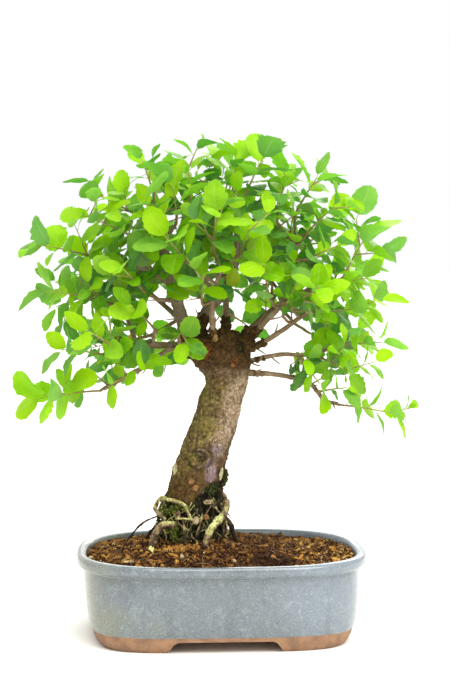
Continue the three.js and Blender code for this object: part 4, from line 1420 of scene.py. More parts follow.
@dataclass
class Growth:
    """The rule by which twigs and leaves find room, the same that the solids grow by."""

    seed: int = 20411
    side_seed: int = 7193
    stem_radius: float = 1.15
    least_twist: float = 0.5
    bare_reach: float = 60.0  # how far from the middle of the head the limbs are bare
    shell: float = 0.4  # share of the crown's reach that side leaves leave empty
    # Gaps through which the limbs show: x, z and half sizes
    clearings: tuple[tuple[float, ...], ...] = ((44, 292, 44, 32), (-52, 306, 26, 30), (2, 284, 30, 26))
    # How low side leaves hang: x and z along the crown's hem
    hem: tuple[tuple[float, float], ...] = (
        (-190, 240), (-130, 246), (-110, 246), (-80, 250), (-50, 264), (25, 264), (60, 258), (90, 256),
        (130, 256), (175, 250),
    )
    thicket: Thicket = field(default_factory=Thicket)
    shoots: list[Shoot] = field(default_factory=list)
    stems: list[Bend] = field(default_factory=list)
    twigs: list[Twig] = field(default_factory=list)
    leaves: list[list[Leaf]] = field(default_factory=list)
    tips: list[tuple[Vec, float]] = field(default_factory=list)
    side_shoots: list[tuple[Bud, Bend, list[Leaf]]] = field(default_factory=list)

    def __post_init__(self) -> None:
        """Grows the crown: wood first, then the shoots, then the side shoots between them."""
        self.shoots = [Shoot(name, Vec(*base), Vec(*reach), count, usual)
                       for name, base, reach, count, usual in SHOOTS]
        self.stems = [shoot.stem() for shoot in self.shoots]
        self.twigs = [self.twig_to(shoot) for shoot in self.shoots]
        self.fill_wood()
        for owner, stem in enumerate(self.stems):
            for box in self.stem_boxes(stem, owner):
                self.thicket.add(box)
        draw = Draw(self.seed)
        for owner, shoot in enumerate(self.shoots):
            self.leaves.append(self.grow_leaves(draw, shoot, self.stems[owner], owner, MAIN_ROOM))
        for leaf in (leaf for leaves in self.leaves for leaf in leaves):
            away = leaf.base + leaf.heading * leaf.length - CANOPY_MIDDLE
            self.tips.append((away.unit(), away.length()))
        self.grow_side_shoots()

    def twig_to(self, shoot: Shoot) -> Twig:
        """The woody twig that reaches a shoot from the limb that lies nearest along the wood.

        Args:
            shoot: the shoot.

        Returns:
            The twig.
        """
        heading = (shoot.reach - shoot.base).unit()
        stations = [station for limb in limb_stations() for station in limb]
        root, radius = min(stations, key=lambda station: (station[0] - shoot.base).length()
                           + 0.4 * (station[0] - HEAD).length())
        reach = (root - shoot.base).length()
        course = Bend(root, shoot.base + heading * (-0.45 * reach), shoot.base)
        return Twig(course, max(min(radius * 0.75, 2.3), 1.3))

    def stem_boxes(self, stem: Bend, owner: int) -> list[Box]:
        """The two boxes that keep leaves off a stem."""
        middle = stem.point(0.5)
        return [Box.along(stem.point(0), middle, self.stem_radius, owner),
                Box.along(middle, stem.point(1), self.stem_radius, owner)]

    def fill_wood(self) -> None:
        """Takes the room that limbs, twigs, trunk and knobs fill."""
        upright = (Vec(1, 0, 0), Vec(0, 1, 0), Vec(0, 0, 1))
        boxes = []
        for limb in limb_stations():
            for (place, radius), (after, _) in zip(limb, limb[1:]):
                boxes.append(Box.along(place, after, radius * 1.08, "wood"))
        for twig in self.twigs:
            for i in range(4):
                first, last = twig.course.point(i / 4), twig.course.point((i + 1) / 4)
                boxes.append(Box.along(first, last, twig.first, "wood"))
        for (low_z, low_x, low_y, _, _), (z, x, y, half_width, half_depth) in zip(TRUNK, TRUNK[1:]):
            middle = Vec((x + low_x) / 2, (y + low_y) / 2, (z + low_z) / 2)
            halves = (half_width * 1.1, half_depth * 1.1, (z - low_z) / 2)
            boxes.append(Box(middle, upright, halves, "wood"))
        for centre, halves in KNOBS:
            boxes.append(Box(Vec(*centre), upright, halves, "wood"))
        for box in boxes:
            self.thicket.add(box)

    def stance(self, draw: Draw, stem: Bend, share: float, turn: float, opening: float, length: float,
               width: float) -> Leaf:
        """Works out how one leaf stands on its stem.

        Args:
            draw: the stream of chance.
            stem: the shoot's stem.
            share: where along the stem the leaf grows.
            turn: the direction round the stem that it leaves in.
            opening: the angle between stem and leaf.
            length: the leaf's length.
            width: the leaf's width.

        Returns:
            The leaf.
        """
        run = stem.end - stem.start
        guide = Vec(1, 0, 0) if abs(run.z) > 0.8 * run.length() else Vec(0, 0, 1)
        along = stem.heading(share)
        across = guide.cross(along).unit()
        third = along.cross(across)
        middle = stem.point(share)
        out = across * math.cos(turn) + third * math.sin(turn)
        heading = along * math.cos(opening) + out * math.sin(opening)
        outward = (middle - CANOPY_MIDDLE).unit()
        chance = [draw.between(-0.35, 0.35) for _ in range(3)]
        face = Vec(chance[0], chance[1], chance[2] + 0.55) + outward * 0.4 + along * 0.6
        face = (face - heading * face.dot(heading)).unit()
        level = (along - heading * along.dot(heading)).unit()
        twist = abs(face.dot(level))
        return Leaf(middle, heading, face.cross(heading), face, twist, length, width, share)

    def blocked(self, whole: Box, owner: int, room: Room) -> bool:
        """Tells whether a leaf has no room among the wood, the stems and the other leaves.

        Args:
            whole: the box round the leaf, with those of its neck and blade.
            owner: the leaf's shoot.
            room: how much room it asks for.

        Returns:
            Whether it has none.
        """
        for other in self.thicket.near(whole):
            if other.owner != owner:
                if whole.meets(other, room.gap):
                    return True
            elif other.blade is None:
                if whole.blade.meets(other, room.own_gap):
                    return True
            elif (whole.blade.meets(other.blade, room.own_gap) or whole.blade.meets(other.neck, room.own_gap)
                  or whole.neck.meets(other.blade, room.own_gap)):
                return True
        return False

    def grow_leaves(self, draw: Draw, shoot: Shoot, stem: Bend, owner: int, room: Room,
                    taken: list[Box] | None = None) -> list[Leaf]:
        """Places a shoot's leaves, each clear of the wood, the stems and the other leaves.

        Args:
            draw: the stream of chance.
            shoot: the shoot.
            stem: its stem.
            owner: the shoot's number.
            room: how much room each leaf asks for.
            taken: where the new boxes are listed; its leaves must stay inside the crown.

        Returns:
            The leaves that found room.
        """
        leaves = []
        first_turn = draw.between(0, 2 * math.pi)
        for i in range(shoot.leaf_count):
            share = 0.1 + 0.86 * i / (shoot.leaf_count - 1)
            for attempt in range(room.tries):
                turn = first_turn + i * GOLDEN_ANGLE + draw.between(-0.3, 0.3) * (1 + attempt / 5)
                opening = math.radians(76 - 34 * share + draw.between(-8, 8))
                length = shoot.leaf_length * draw.between(0.86, 1.2) * (1 - 0.025 * attempt)
                width = length * draw.between(0.54, 0.68)
                leaf = self.stance(draw, stem, share, turn, opening, length, width)
                if leaf.twist < self.least_twist or (taken is not None and not self.inside_crown(leaf)):
                    continue
                whole = Box.of_leaf(leaf, 0.06, 1, width / 2, room.half_depth, owner)
                whole.neck = Box.of_leaf(leaf, 0.1, 0.36, width * 0.3, 1.4, owner)
                whole.blade = Box.of_leaf(leaf, 0.3, 1, width / 2, 1.6, owner)
                if not self.blocked(whole, owner, room):
                    self.thicket.add(whole)
                    if taken is not None:
                        taken.append(whole)
                    leaves.append(leaf)
                    break
        return leaves

    def buds(self) -> list[Bud]:
        """Where side shoots may leave the twigs and limbs."""
        buds = []
        for owner, twig in enumerate(self.twigs):
            count = 2 + int((twig.course.end - twig.course.start).length() / 9)
            for step in range(1, count + 1):
                share = step / count
                radius = twig.first + (twig.last - twig.first) * share
                buds.append(Bud(owner, twig.course.point(share), twig.course.heading(share), radius))
        for owner, stem in enumerate(self.stems):
            for share in (0.12, 0.3, 0.5, 0.7, 0.88):
                buds.append(Bud(owner, stem.point(share), stem.heading(share), self.stem_radius))
        for limb in limb_stations():
            for (place, radius), (after, _) in zip(limb[2:], limb[3:]):
                for share in (0.0, 0.5):
                    spot = place.toward(after, share)
                    away = [(shoot.base - spot).length() for shoot in self.shoots]
                    nearest = away.index(min(away))
                    buds.append(Bud(nearest, spot, (after - place).unit(), radius * 1.08))
        return [bud for bud in buds if (bud.place - HEAD).length() > self.bare_reach]

    def inside_crown(self, leaf: Leaf) -> bool:
        """Tells whether a side leaf stays in the leafy shell under the main shoots' outline.

        Args:
            leaf: the leaf.

        Returns:
            Whether it does.
        """
        tip = leaf.base + leaf.heading * leaf.length
        for x, z, wide, high in self.clearings:
            for place in (tip, leaf.base.toward(tip, 0.5)):
                if math.hypot((place.x - x) / wide, (place.z - z) / high) < 1:
                    return False
        if tip.z < line_height(self.hem, tip.x, -math.inf):
            return False
        away = tip - CANOPY_MIDDLE
        size = away.length()
        out = away.unit()
        reach = max((tip_size for tip, tip_size in self.tips if tip.dot(out) > 0.965), default=0.0)
        return self.shell * reach < size < reach - 1

    def grow_side_shoots(self) -> None:
        """Fills the crown between the main shoots with smaller side shoots."""
        draw = Draw(self.side_seed)
        owner = len(self.shoots)
        buds = self.buds()
        for least in (4, 3, 2):
            for bud in buds:
                for _ in range(6):
                    grown = self.side_shoot(draw, bud, owner, least)
                    if grown:
                        self.side_shoots.append((bud, *grown))
                        owner += 1
                        break

    def side_shoot(self, draw: Draw, bud: Bud, owner: int, least: int) -> tuple[Bend, list[Leaf]] | None:
        """Tries to grow one side shoot from a bud.

        Args:
            draw: the stream of chance.
            bud: where it leaves the wood.
            owner: its number.
            least: how many leaves must find room.

        Returns:
            The shoot's stem and its leaves, or None where there is no room.
        """
        away = Vec(draw.between(-1, 1), draw.between(-1, 1), draw.between(-0.5, 1)).unit()
        outward = (bud.place - CANOPY_MIDDLE).unit()
        heading = (bud.run * 0.3 + away + outward * 0.5).unit()
        length = draw.between(16, 36)
        usual = self.shoots[bud.nearest].leaf_length * draw.between(0.8, 1.04)
        slope = heading.cross(bud.run).length()
        if slope < 0.45:
            return None
        first = (bud.radius + self.stem_radius + 0.4) / slope
        shoot = Shoot("side", bud.place + heading * first, bud.place + heading * (first + length), 5, usual)
        stem = shoot.stem(gap=0.0)
        boxes = self.stem_boxes(stem, owner)
        if any(box.meets(other, 0.0) for box in boxes for other in self.thicket.near(box)):
            return None
        for box in boxes:
            self.thicket.add(box)
        leaves = self.grow_leaves(draw, shoot, stem, owner, SIDE_ROOM, boxes)
        if len(leaves) >= least:
            return stem, leaves
        for box in boxes:
            self.thicket.drop(box)
        return None


# The sub-assemblies


@dataclass
class Pot:
    """Stoneware pot, an oval that grows squarer towards its four corner feet, with two drains."""

    sides: int = 128
    foot_height: float = 11.0
    foot_ring: float = 9.0
    front_gap: float = 112.0
    side_gap: float = 68.0
    gap_slant: float = 9.0
    glaze_line: float = 15.4
    floor_top: float = 20.0
    drain_radius: float = 10.0
    # Height, and how far the surface stands inside the pot's greatest outline
    profile: tuple[tuple[float, float], ...] = (
        (0, 18.2), (0.5, 17.3), (4, 14.8), (9, 12.6), (14.6, 10.9), (15.2, 10.5), (16.0, 9.8), (22, 8.7),
        (32, 7.5), (44, 6.8), (56, 6.4), (66, 6.2), (70, 5.9), (71.4, 4.9), (72.0, 3.2), (72.8, 1.5),
        (74.4, 0.4), (77, 0.0), (79.6, 0.2), (81.3, 0.8), (82.4, 1.9), (83, 3.6), (83, 5.6), (82.5, 7.6),
        (81.3, 9.2), (79, 10.3), (70, 10.8), (40, 12.6), (24, 16.4), (20, 21.5),
    )

    def level(self, z: float, inset: float) -> Level:
        """A ring of the pot at a height, drawn in by an inset."""
        return Level(z, POT_LENGTH / 2 - inset - END_TAPER * lowness(z), POT_DEPTH / 2 - inset)

    def body(self) -> Thing:
        """Models the walls, lip and floor, with the recess under the floor."""
        levels = [self.level(z, inset) for z, inset in self.profile]
        form = stack("pot_stoneware", rounded_plan(self.sides, LIP_POWER), levels)
        squared(form, self.sides, levels)
        inner = self.level(0, self.profile[0][1] + self.foot_ring)
        grow = (inner.half_width / levels[0].half_width, inner.half_depth / levels[0].half_depth, 1)
        with editing(form, "FACE", lambda face: face.center.z < 0.1 * MM and face.normal.z < -0.9):
            bpy.ops.mesh.extrude_region_move()
            bpy.ops.transform.resize(value=grow, center_override=metres(Vec(0, 0, 0)))
            bpy.ops.mesh.extrude_region_move(TRANSFORM_OT_translate={"value": (0, 0, self.foot_height * MM)})
        return form

    def gap_tool(self, width: float, along_x: bool) -> Thing:
        """Models the slanted bar with rounded shoulders that cuts the gap between two feet.

        Args:
            width: the gap's width at the ground.
            along_x: whether the bar runs from side to side, and not from front to back.

        Returns:
            The bar.
        """
        top = self.foot_height
        tool = add_shape("cube", size=1, location=metres(Vec(0, 0, top / 2 - 1)),
                         scale=(width * MM, 1.3 * max(POT_LENGTH, POT_DEPTH) * MM, (top + 2) * MM))
        bpy.ops.object.transform_apply(location=True, rotation=False, scale=True)
        with editing(tool, "FACE", lambda face: face.normal.z > 0.9):
            narrow = (width - 2 * self.gap_slant) / width
            bpy.ops.transform.resize(value=(narrow, 1, 1), center_override=metres(Vec(0, 0, top)))

        def at_shoulder(edge: bpy.types.MeshEdge) -> bool:
            """Tells whether an edge runs along the bar's top."""
            first, last = (tool.data.vertices[i].co for i in edge.vertices)
            return min(first.z, last.z) > (top - 1) * MM and abs(first.x - last.x) < MM / 2

        with editing(tool, "EDGE", at_shoulder):
            bpy.ops.mesh.bevel(offset=4 * MM, segments=5, affect="EDGES")
        if along_x:
            with editing(tool):
                middle = metres(Vec(0, 0, 0))
                bpy.ops.transform.rotate(value=math.pi / 2, orient_axis="Z", center_override=middle)
        return tool

    def build(self) -> None:
        """Builds the pot and dresses it in glaze and bare clay."""
        pot = self.body()
        cut_away(pot, self.gap_tool(self.front_gap, along_x=False))
        cut_away(pot, self.gap_tool(self.side_gap, along_x=True))
        for side in (-1, 1):
            cut_away(pot, add_shape(
                "cylinder", vertices=40, radius=self.drain_radius * MM, depth=(self.floor_top + 4) * MM,
                location=metres(Vec(side * DRAIN_X, 0, self.floor_top / 2))))
        apply_modifier(pot, "BEVEL", width=0.5 * MM, segments=2, limit_method="ANGLE",
                       angle_limit=math.radians(50))
        for corner in pot.data.vertices:
            place = millimetres(corner.co)
            corner.co += corner.normal * (lumps(place, 45) * 0.35) * MM * smooth_step(16, 30, place.z)
            edge = 1 - smooth_step(0.5, 1.5, abs(place.z - self.glaze_line))
            corner.co.z += edge * lumps(place, 16) * 0.55 * MM
        dress(pot, Glaze().material(), BareClay().material())
        for face in pot.data.polygons:
            place = millimetres(face.center)
            inside = math.hypot(place.x / (POT_LENGTH / 2 - 9), place.y / (POT_DEPTH / 2 - 9)) < 0.9
            face.material_index = int(place.z < self.glaze_line or (inside and place.z < 74))
        finish_piece(pot, "glaze", 35, "pot")


@dataclass
class Screens:
    """The plastic mesh over each drainage hole."""

    size: float = 34.0
    height: float = 20.85
    thickness: float = 1.0
    cells: int = 9

    def build(self) -> None:
        """Builds both screens."""
        plastic = MeshPlastic().material()
        for side, name in ((-1, "screen_left"), (1, "screen_right")):
            screen = add_shape("grid", name + "_mesh", x_subdivisions=self.cells,
                               y_subdivisions=self.cells, size=(self.size - 1) * MM,
                               location=metres(Vec(side * DRAIN_X, 0, self.height)))
            apply_modifier(screen, "WIREFRAME", thickness=self.thickness * MM, use_replace=True,
                           use_even_offset=True)
            apply_modifier(screen, "BEVEL", width=0.2 * MM, segments=1)
            dress(screen, plastic)
            finish_piece(screen, "screen", 35, name)


class SoilBit(Enum):
    """The loose bits of the soil.

    Each has its piece's name, its mean size, how many there are, whether it starts round, how
    uneven it is and its length, width and thickness.
    """

    CRUMB = ("soil_crumbs", 0.86, 9900, True, 0.42, (1, 0.8, 0.6))
    CHIP = ("soil_bark_chips", 1.6, 760, False, 0.34, (1, 0.6, 0.26))
    SPLINTER = ("soil_splinters", 2.3, 260, False, 0.22, (1, 0.24, 0.16))
    GRANULE = ("soil_granules", 1.35, 330, True, 0.16, (1, 0.9, 0.85))
    PEBBLE = ("soil_pebbles", 1.5, 40, True, 0.16, (1, 0.8, 0.65))


@dataclass
class Soil:
    """A mound of peat covered with crumbs, bark chips, splinters, pebbles and fine roots."""

    edge: float = 76.5
    mound_rise: float = 19.0
    mound_spread: float = 60.0
    inset: float = 11.2
    sides: int = 160
    rings: int = 44
    trunk_foot: tuple[float, float] = (33.0, 30.0)  # half sizes of the oval that no bit lies in
    fibre_count: int = 150
    seed: int = 31
    chance: random.Random = field(init=False)

    def __post_init__(self) -> None:
        """Starts the soil's own stream of chance."""
        self.chance = random.Random(self.seed)

    def height(self, x: float, y: float) -> float:
        """Finds how high the soil lies.

        Args:
            x: the place's distance to the right of the pot's middle.
            y: its distance behind it.

        Returns:
            The height over the ground.
        """
        away = math.hypot(x - TRUNK[1][1], y - TRUNK[1][2])
        out = (abs(x / (POT_LENGTH / 2 - self.inset)) ** LIP_POWER
               + abs(y / (POT_DEPTH / 2 - self.inset)) ** LIP_POWER)
        ease = 1 - min(out, 1.0) ** (4 / LIP_POWER)
        mound = self.mound_rise * math.exp(-((away / self.mound_spread) ** 2) / 2) * ease
        lumps = 0.8 * math.sin(x / 9 + 1) * math.cos(y / 11) + 0.5 * math.sin(x / 4.3 - y / 6.1)
        return self.edge + mound + lumps

    def bed(self) -> None:
        """Models the body of peat with its lumpy top."""
        half_length, half_depth = POT_LENGTH / 2, POT_DEPTH / 2
        levels = [Level(z, half_length - inset - END_TAPER * lowness(z), half_depth - inset)
                  for z, inset in ((20.4, 22.5), (40, 13.3))]  # its underside, clear of the pot's wall
        for i in range(self.rings + 1):
            share = 1 - i / (self.rings + 0.6)
            levels.append(Level(self.edge - 0.01 * (self.rings - i), (half_length - self.inset) * share,
                                (half_depth - self.inset) * share))
        bed = stack("soil_bed", rounded_plan(self.sides, LIP_POWER), levels)
        squared(bed, self.sides, levels)
        for corner in bed.data.vertices:
            place = millimetres(corner.co)
            if place.z > self.edge - 1:
                lump = noise.turbulence(Vector((place.x, place.y, 0)) / 7, 3, False)
                corner.co.z = (self.height(place.x, place.y) + 1.5 * (lump - 0.75)) * MM
        dress(bed, Earth().material())
        finish_piece(bed, "soil", 60, "soil")

    def spot(self, margin: float = 0.0) -> Vec:
        """A random place on the soil's top, off the trunk and a margin away from the pot.

        Args:
            margin: how far it stays from the pot, in millimetres.

        Returns:
            The place.
        """
        reach_x, reach_y = POT_LENGTH / 2 - self.inset - margin, POT_DEPTH / 2 - self.inset - margin
        while True:
            x = self.chance.uniform(-1, 1) * reach_x
            y = self.chance.uniform(-1, 1) * reach_y
            inside = abs(x / reach_x) ** LIP_POWER + abs(y / reach_y) ** LIP_POWER <= 1
            wide, deep = self.trunk_foot
            if inside and math.hypot((x - TRUNK[0][1]) / wide, y / deep) > 1:
                return Vec(x, y, self.height(x, y))

    def bit_pattern(self, kind: SoilBit, seed: int) -> Pattern:
        """Models one loose bit about the origin, one in size.

        Args:
            kind: what it is a bit of.
            seed: the start of its own chance.

        Returns:
            The bit's pattern.
        """
        *_, rounded, uneven, sizes = kind.value
        if rounded:
            model = add_shape("ico_sphere", subdivisions=1, radius=1)
        else:
            model = add_shape("cube", size=2)
            with editing(model):
                bpy.ops.mesh.subdivide(number_cuts=1)
        chance = random.Random(seed)
        for corner in model.data.vertices:
            pulled = corner.co * (1 + chance.uniform(-uneven, uneven))
            corner.co = [part * size for part, size in zip(pulled, sizes)]
        return Pattern.taken_from(model)

    def scatter(self, kind: SoilBit, grain: Material) -> None:
        """Scatters one kind of loose bit over the bed.

        Args:
            kind: what the bits are of.
            grain: their material.
        """
        name, mean, count, rounded, *_ = kind.value
        patterns = [self.bit_pattern(kind, seed) for seed in range(5)]
        tilt, lifted = (3.1, 0.2) if rounded else (0.9, 0.28)
        pile = Pile()
        for _ in range(count):
            size = mean * self.chance.choice((0.5, 0.65, 0.8, 0.95, 1.2, 1.6, 2.2))
            place = self.spot(margin=size * 0.8)
            if kind is SoilBit.GRANULE and self.chance.random() < 0.2:
                x, y = self.chance.gauss(-46, 8), self.chance.gauss(-42, 3)
                place = Vec(x, y, self.height(x, y))
            turn = (Matrix.Rotation(self.chance.uniform(0, 6.28), 3, "Z")
                    @ Matrix.Rotation(self.chance.uniform(-tilt, tilt), 3, "X")
                    @ Matrix.Rotation(self.chance.uniform(-tilt, tilt) * 0.6, 3, "Y"))
            seat = place + Vec(0, 0, size * lifted)
            tone = self.tone(kind, place)
            pattern = self.chance.choice(patterns)
            pile.add(pattern, lambda corner: seat + Vec(*(turn @ Vector(corner))) * size, tone)
        finish_piece(pile.piece(name, grain), "soil", 30)

    def tone(self, kind: SoilBit, place: Vec) -> float:
        """Draws a bit's shade, darker in the peaty clump on the right, darker round the middle and lighter
        towards the right.

        Args:
            kind: what it is a bit of.
            place: where it lies.

        Returns:
            The shade, from 0, dark, to 1.
        """
        draw = self.chance.random()
        if kind is SoilBit.PEBBLE:
            return self.chance.choice((0.35, 0.55, 0.72, 0.97))
        if kind is SoilBit.CRUMB:
            tone = 0.8 * draw ** 1.25 if draw < 0.85 else 0.5 + 0.45 * self.chance.random()
        else:
            least, spread = {SoilBit.CHIP: (0.2, 0.55), SoilBit.SPLINTER: (0.55, 0.4),
                             SoilBit.GRANULE: (0.66, 0.22)}[kind]
            tone = least + spread * draw
        clump = smooth_step(0.4, 1.2, math.hypot((place.x - 50) / 24, (place.y + 62) / 26))
        # Darker round the middle and lighter towards the right of the pot.
        darkening = 1 - 0.26 * bell(place.x - 20, 45) + 0.14 * smooth_step(60, 120, place.x)
        return tone * darkening * (0.3 + 0.7 * clump)

    def fibres(self, twig: Material) -> None:
        """Lays fine dead roots and grass fibres over the soil.

        Args:
            twig: their material.
        """
        pile = Pile()
        for _ in range(self.fibre_count):
            place = self.spot(margin=12)
            heading = self.chance.uniform(0, 2 * math.pi)
            length = self.chance.uniform(8, 24) / 6
            curl = self.chance.uniform(-0.09, 0.09)
            path = []
            x, y = place.x, place.y
            for step in range(7):
                arch = math.sin(math.pi * step / 6) * self.chance.uniform(0.6, 2.2)
                path.append(Vec(x, y, self.height(x, y) + 0.6 + arch))
                x += math.cos(heading) * length
                y += math.sin(heading) * length
                heading += curl * length + self.chance.uniform(-0.3, 0.3)
            radius = self.chance.uniform(0.16, 0.34)
            if all(abs(p.x) < POT_LENGTH / 2 - 14 and abs(p.y) < POT_DEPTH / 2 - 14
                   and math.hypot(p.x - TRUNK[0][1], p.y) > 34 for p in path):
                pile.tube(path, [radius] * 7, 3, tones=[self.chance.choice((0.0, 0.3, 0.45, 0.6))])
        finish_piece(pile.piece("soil_fibres", twig), "soil")

    def build(self, twig: Material) -> None:
        """Builds the bed and everything that lies on it."""
        self.bed()
        grain = SOIL_GRAIN.material()
        for kind in SoilBit:
            self.scatter(kind, grain)
        self.fibres(twig)


@dataclass(frozen=True)
class Patch:
    """A place on the trunk where the bark differs: centre, half sizes and the weight it paints."""

    weight: str
    centre: Vec
    halves: Vec


@dataclass
class Trunk:
    """The leaning trunk with its knobby head, swirling knot and torn hollow."""

    sides: int = 56
    step: float = 2.5
    voxel: float = 1.05
    hollow: tuple[Vec, Vec, float] = (Vec(-5, -29, 134), Vec(11, 8, 19), 0.42)
    # The torn lower edge of the bark, seen from the front: x and z along it
    torn_edge: tuple[tuple[float, float], ...] = (
        (-90, 132), (-58, 136), (-34, 130), (-21, 141), (-12, 150), (0, 153), (40, 148),
    )
    sunk: float = 3.2  # how deep the torn wood lies under the bark
    patches: tuple[Patch, ...] = (
        Patch("mauve", Vec(-11, -26, 162), Vec(6.5, 12, 13)),
        Patch("mauve", Vec(-4, -24, 182), Vec(6, 10, 6)),
        Patch("wound", Vec(-18, -20, 279), Vec(7, 14, 8)),
        Patch("wound", Vec(-6, -24, 291), Vec(5, 8, 5)),
        Patch("wound", Vec(11, -24, 266), Vec(3.5, 8, 3.5)),
        Patch("rot_and_shade", Vec(16, -14, 281), Vec(8, 10, 8)),
        Patch("rot_and_shade", Vec(-13, -12, 296), Vec(8, 10, 5)),
    )

    @staticmethod
    def row(z: float) -> tuple[float, ...]:
        """The trunk's ring at a height, between the rows of the table."""
        upper = next((i for i, row in enumerate(TRUNK) if row[0] >= z), len(TRUNK) - 1)
        low, high = TRUNK[max(upper - 1, 0)], TRUNK[upper]
        share = clamp((z - low[0]) / max(high[0] - low[0], 1e-6))
        return tuple(a + (b - a) * share for a, b in zip(low, high))

    def core(self) -> Thing:
        """Models the trunk's body from rings and carves the hollow."""
        bottom, top = TRUNK[0][0], TRUNK[-1][0]
        count = int((top - bottom) / self.step)
        levels = []
        for i in range(count + 1):
            z, x, y, half_width, half_depth = self.row(bottom + (top - bottom) * i / count)
            levels.append(Level(z, half_width, half_depth, x, y))
        plan = rounded_plan(self.sides, 2.0)
        core = stack("trunk_bark", plan, levels)
        tool = add_shape("uv_sphere", segments=24, ring_count=16, radius=1)
        centre, halves, lean = self.hollow
        centre, halves, lean = self.hollow
        put(tool, centre, Matrix.Rotation(lean, 4, "Y"), halves, apply=False)
        cut_away(core, tool)
        return core

    def grown_together(self) -> Thing:
        """Joins the trunk, its knobs and the roots of the limbs into one skin."""
        parts = [self.core()]
        for centre, halves in KNOBS[:KNOT + 1]:
            parts.append(add_shape("ico_sphere", subdivisions=3, radius=1))
            put(parts[-1], Vec(*centre), Matrix.Identity(4), halves)
        pile = Pile()
        for first, last, points in LIMBS:
            path = smooth_path(points, 40)[:16]
            near = [place for place in path if (place - HEAD).length() < 46]
            if len(near) > 2:
                flare = [first * (1 + 0.9 * math.exp(-(place - HEAD).length() / 16)) for place in near]
                pile.tube(near, flare, 14)
        parts.append(pile.piece("limb_roots"))
        select_only(*parts[1:], parts[0])
        bpy.ops.object.join()
        trunk = bpy.context.object
        apply_modifier(trunk, "REMESH", mode="VOXEL", voxel_size=self.voxel * MM)
        apply_modifier(trunk, "SMOOTH", factor=0.5, iterations=6)
        return trunk

    def relief(self, place: Vec, rot_and_shade: float) -> float:
        """How far the bark stands out at a place, in millimetres.

        Args:
            place: the place.
            rot_and_shade: how torn the wood is there, and how dark the painted shade of the knot's grooves
                is; both sink it.

        Returns:
            The height over the smooth trunk.
        """
        lean = Vec(place.x + (place.z - 180) * -0.3, place.y, place.z * 0.5)
        burr = smooth_step(240, 262, place.z)
        gnarl = 1 - smooth_step(96, 168, place.z)
        ridges = 1 - abs(lumps(lean, 2.9)) * 2.0
        cracks = noise.noise(Vector((place.x / 9, place.y / 9, place.z / 2.4)))
        height = (0.6 + 0.3 * gnarl) * ridges + 1.2 * lumps(place, 2.1) + 1.1 * lumps(place, 9)
        height += (1.7 * burr + 0.9 * gnarl) * lumps(place, 4.2) + 1.8 * burr * lumps(place, 7)
        return height - 0.9 * max(cracks - 0.1, 0) + self.knot_relief(place) - self.sunk * rot_and_shade * (1 - burr)

    @staticmethod
    def from_knot(place: Vec) -> tuple[float, float]:
        """Distance and direction of a place from the middle of the knot, seen from the front."""
        centre = Vec(*KNOBS[KNOT][0])
        x, z = place.x - centre.x, place.z - centre.z
        return math.hypot(x, z * 1.1), math.atan2(z, x)

    def knot_relief(self, place: Vec) -> float:
        """The rings of the swirling knot, in millimetres."""
        away, angle = self.from_knot(place)
        if away > 15 or place.y > -8:
            return 0.0
        ring = bell(away - 8.0 - 0.6 * angle, 1.7) * smooth_step(-2.6, -1.4, angle)
        return 2.3 * ring + 0.5 * bell(away - 4.2, 1.0) - 2.6 * bell(away, 2.4) - 0.8 * bell(away - 5.9, 1.0)

    def swirl(self, place: Vec) -> float:
        """How dark the swirling knot's grooves are painted at a place, as painted shade.

        Args:
            place: the place.

        Returns:
            The darkness, from 0 to 1.
        """
        away, angle = self.from_knot(place)
        if away > 18 or place.y > -8:
            return 0.0
        broken = clamp(0.85 + 1.3 * lumps(place, 4))
        away += 1.3 * lumps(place, 5)
        outer, inner = 0.7 * bell(away - 11.0 + 0.9 * angle, 1.6), 0.8 * bell(away - 5.4 - 0.5 * angle, 1.3)
        return max(0.85 * bell(away, 2.8), outer * broken, inner * broken)

    def torn(self, place: Vec, edge: float) -> float:
        """How torn the wood is at a place of the foot, by the bark's ragged lower edge."""
        height = line_height(self.torn_edge, place.x, self.torn_edge[-1][1])
        height = height + (114 - height) * smooth_step(-4, 14, place.y)
        return 1 - smooth_step(height - 2.5, height + 0.5, place.z + 12 * edge)

    def weights(self, place: Vec, normal: Vector) -> dict[str, float]:
        """Works out what the bark is like at a place.

        Args:
            place: the place.
            normal: the direction that the trunk's surface faces there.

        Returns:
            The weights that the bark's material reads, by name.
        """
        edge = 0.25 * lumps(place, 5) + 0.15 * lumps(place, 2)
        # Painted shade: the side that faces left, away from the light, leans to olive and dark, and the side
        # that faces right to pale pink, as if lit; lichen grows on the dark side too.
        painted = {"lichen_and_shade": clamp(0.52 - 0.75 * normal.x + 1.7 * edge), "mauve": 0.0, "wound": 0.0,
                   "rot_and_shade": 0.0}
        for patch in self.patches:
            away = math.hypot(*((here - middle) / half
                                for here, middle, half in zip(place, patch.centre, patch.halves)))
            painted[patch.weight] = max(painted[patch.weight], 1 - smooth_step(0.7, 1.15, away + edge * 1.6))
        # Darker brown low on the trunk and on the head.
        low = 1 - smooth_step(160, 205, place.z - 0.5 * place.x + 40 * edge)
        # Painted highlight: the knot's ring ridge is kept out of the dark bark, so it shows lighter, as if
        # lit on top.
        low *= 1 - 0.95 * bell(self.from_knot(place)[0] - 8.4 + 4 * edge, 2.0) * (place.y < -8)
        head = smooth_step(244, 266, place.z + 16 * edge)
        painted["dark"] = max(0.92 * low, 0.97 * head)
        painted["lichen_and_shade"] *= 1 - 0.9 * head
        painted["mauve"] *= 0.9
        # The torn weight also paints shade: the near black of the torn hollow and the knot's dark grooves.
        painted["rot_and_shade"] = max(0.85 * painted["rot_and_shade"], self.torn(place, edge), self.swirl(place))
        return painted

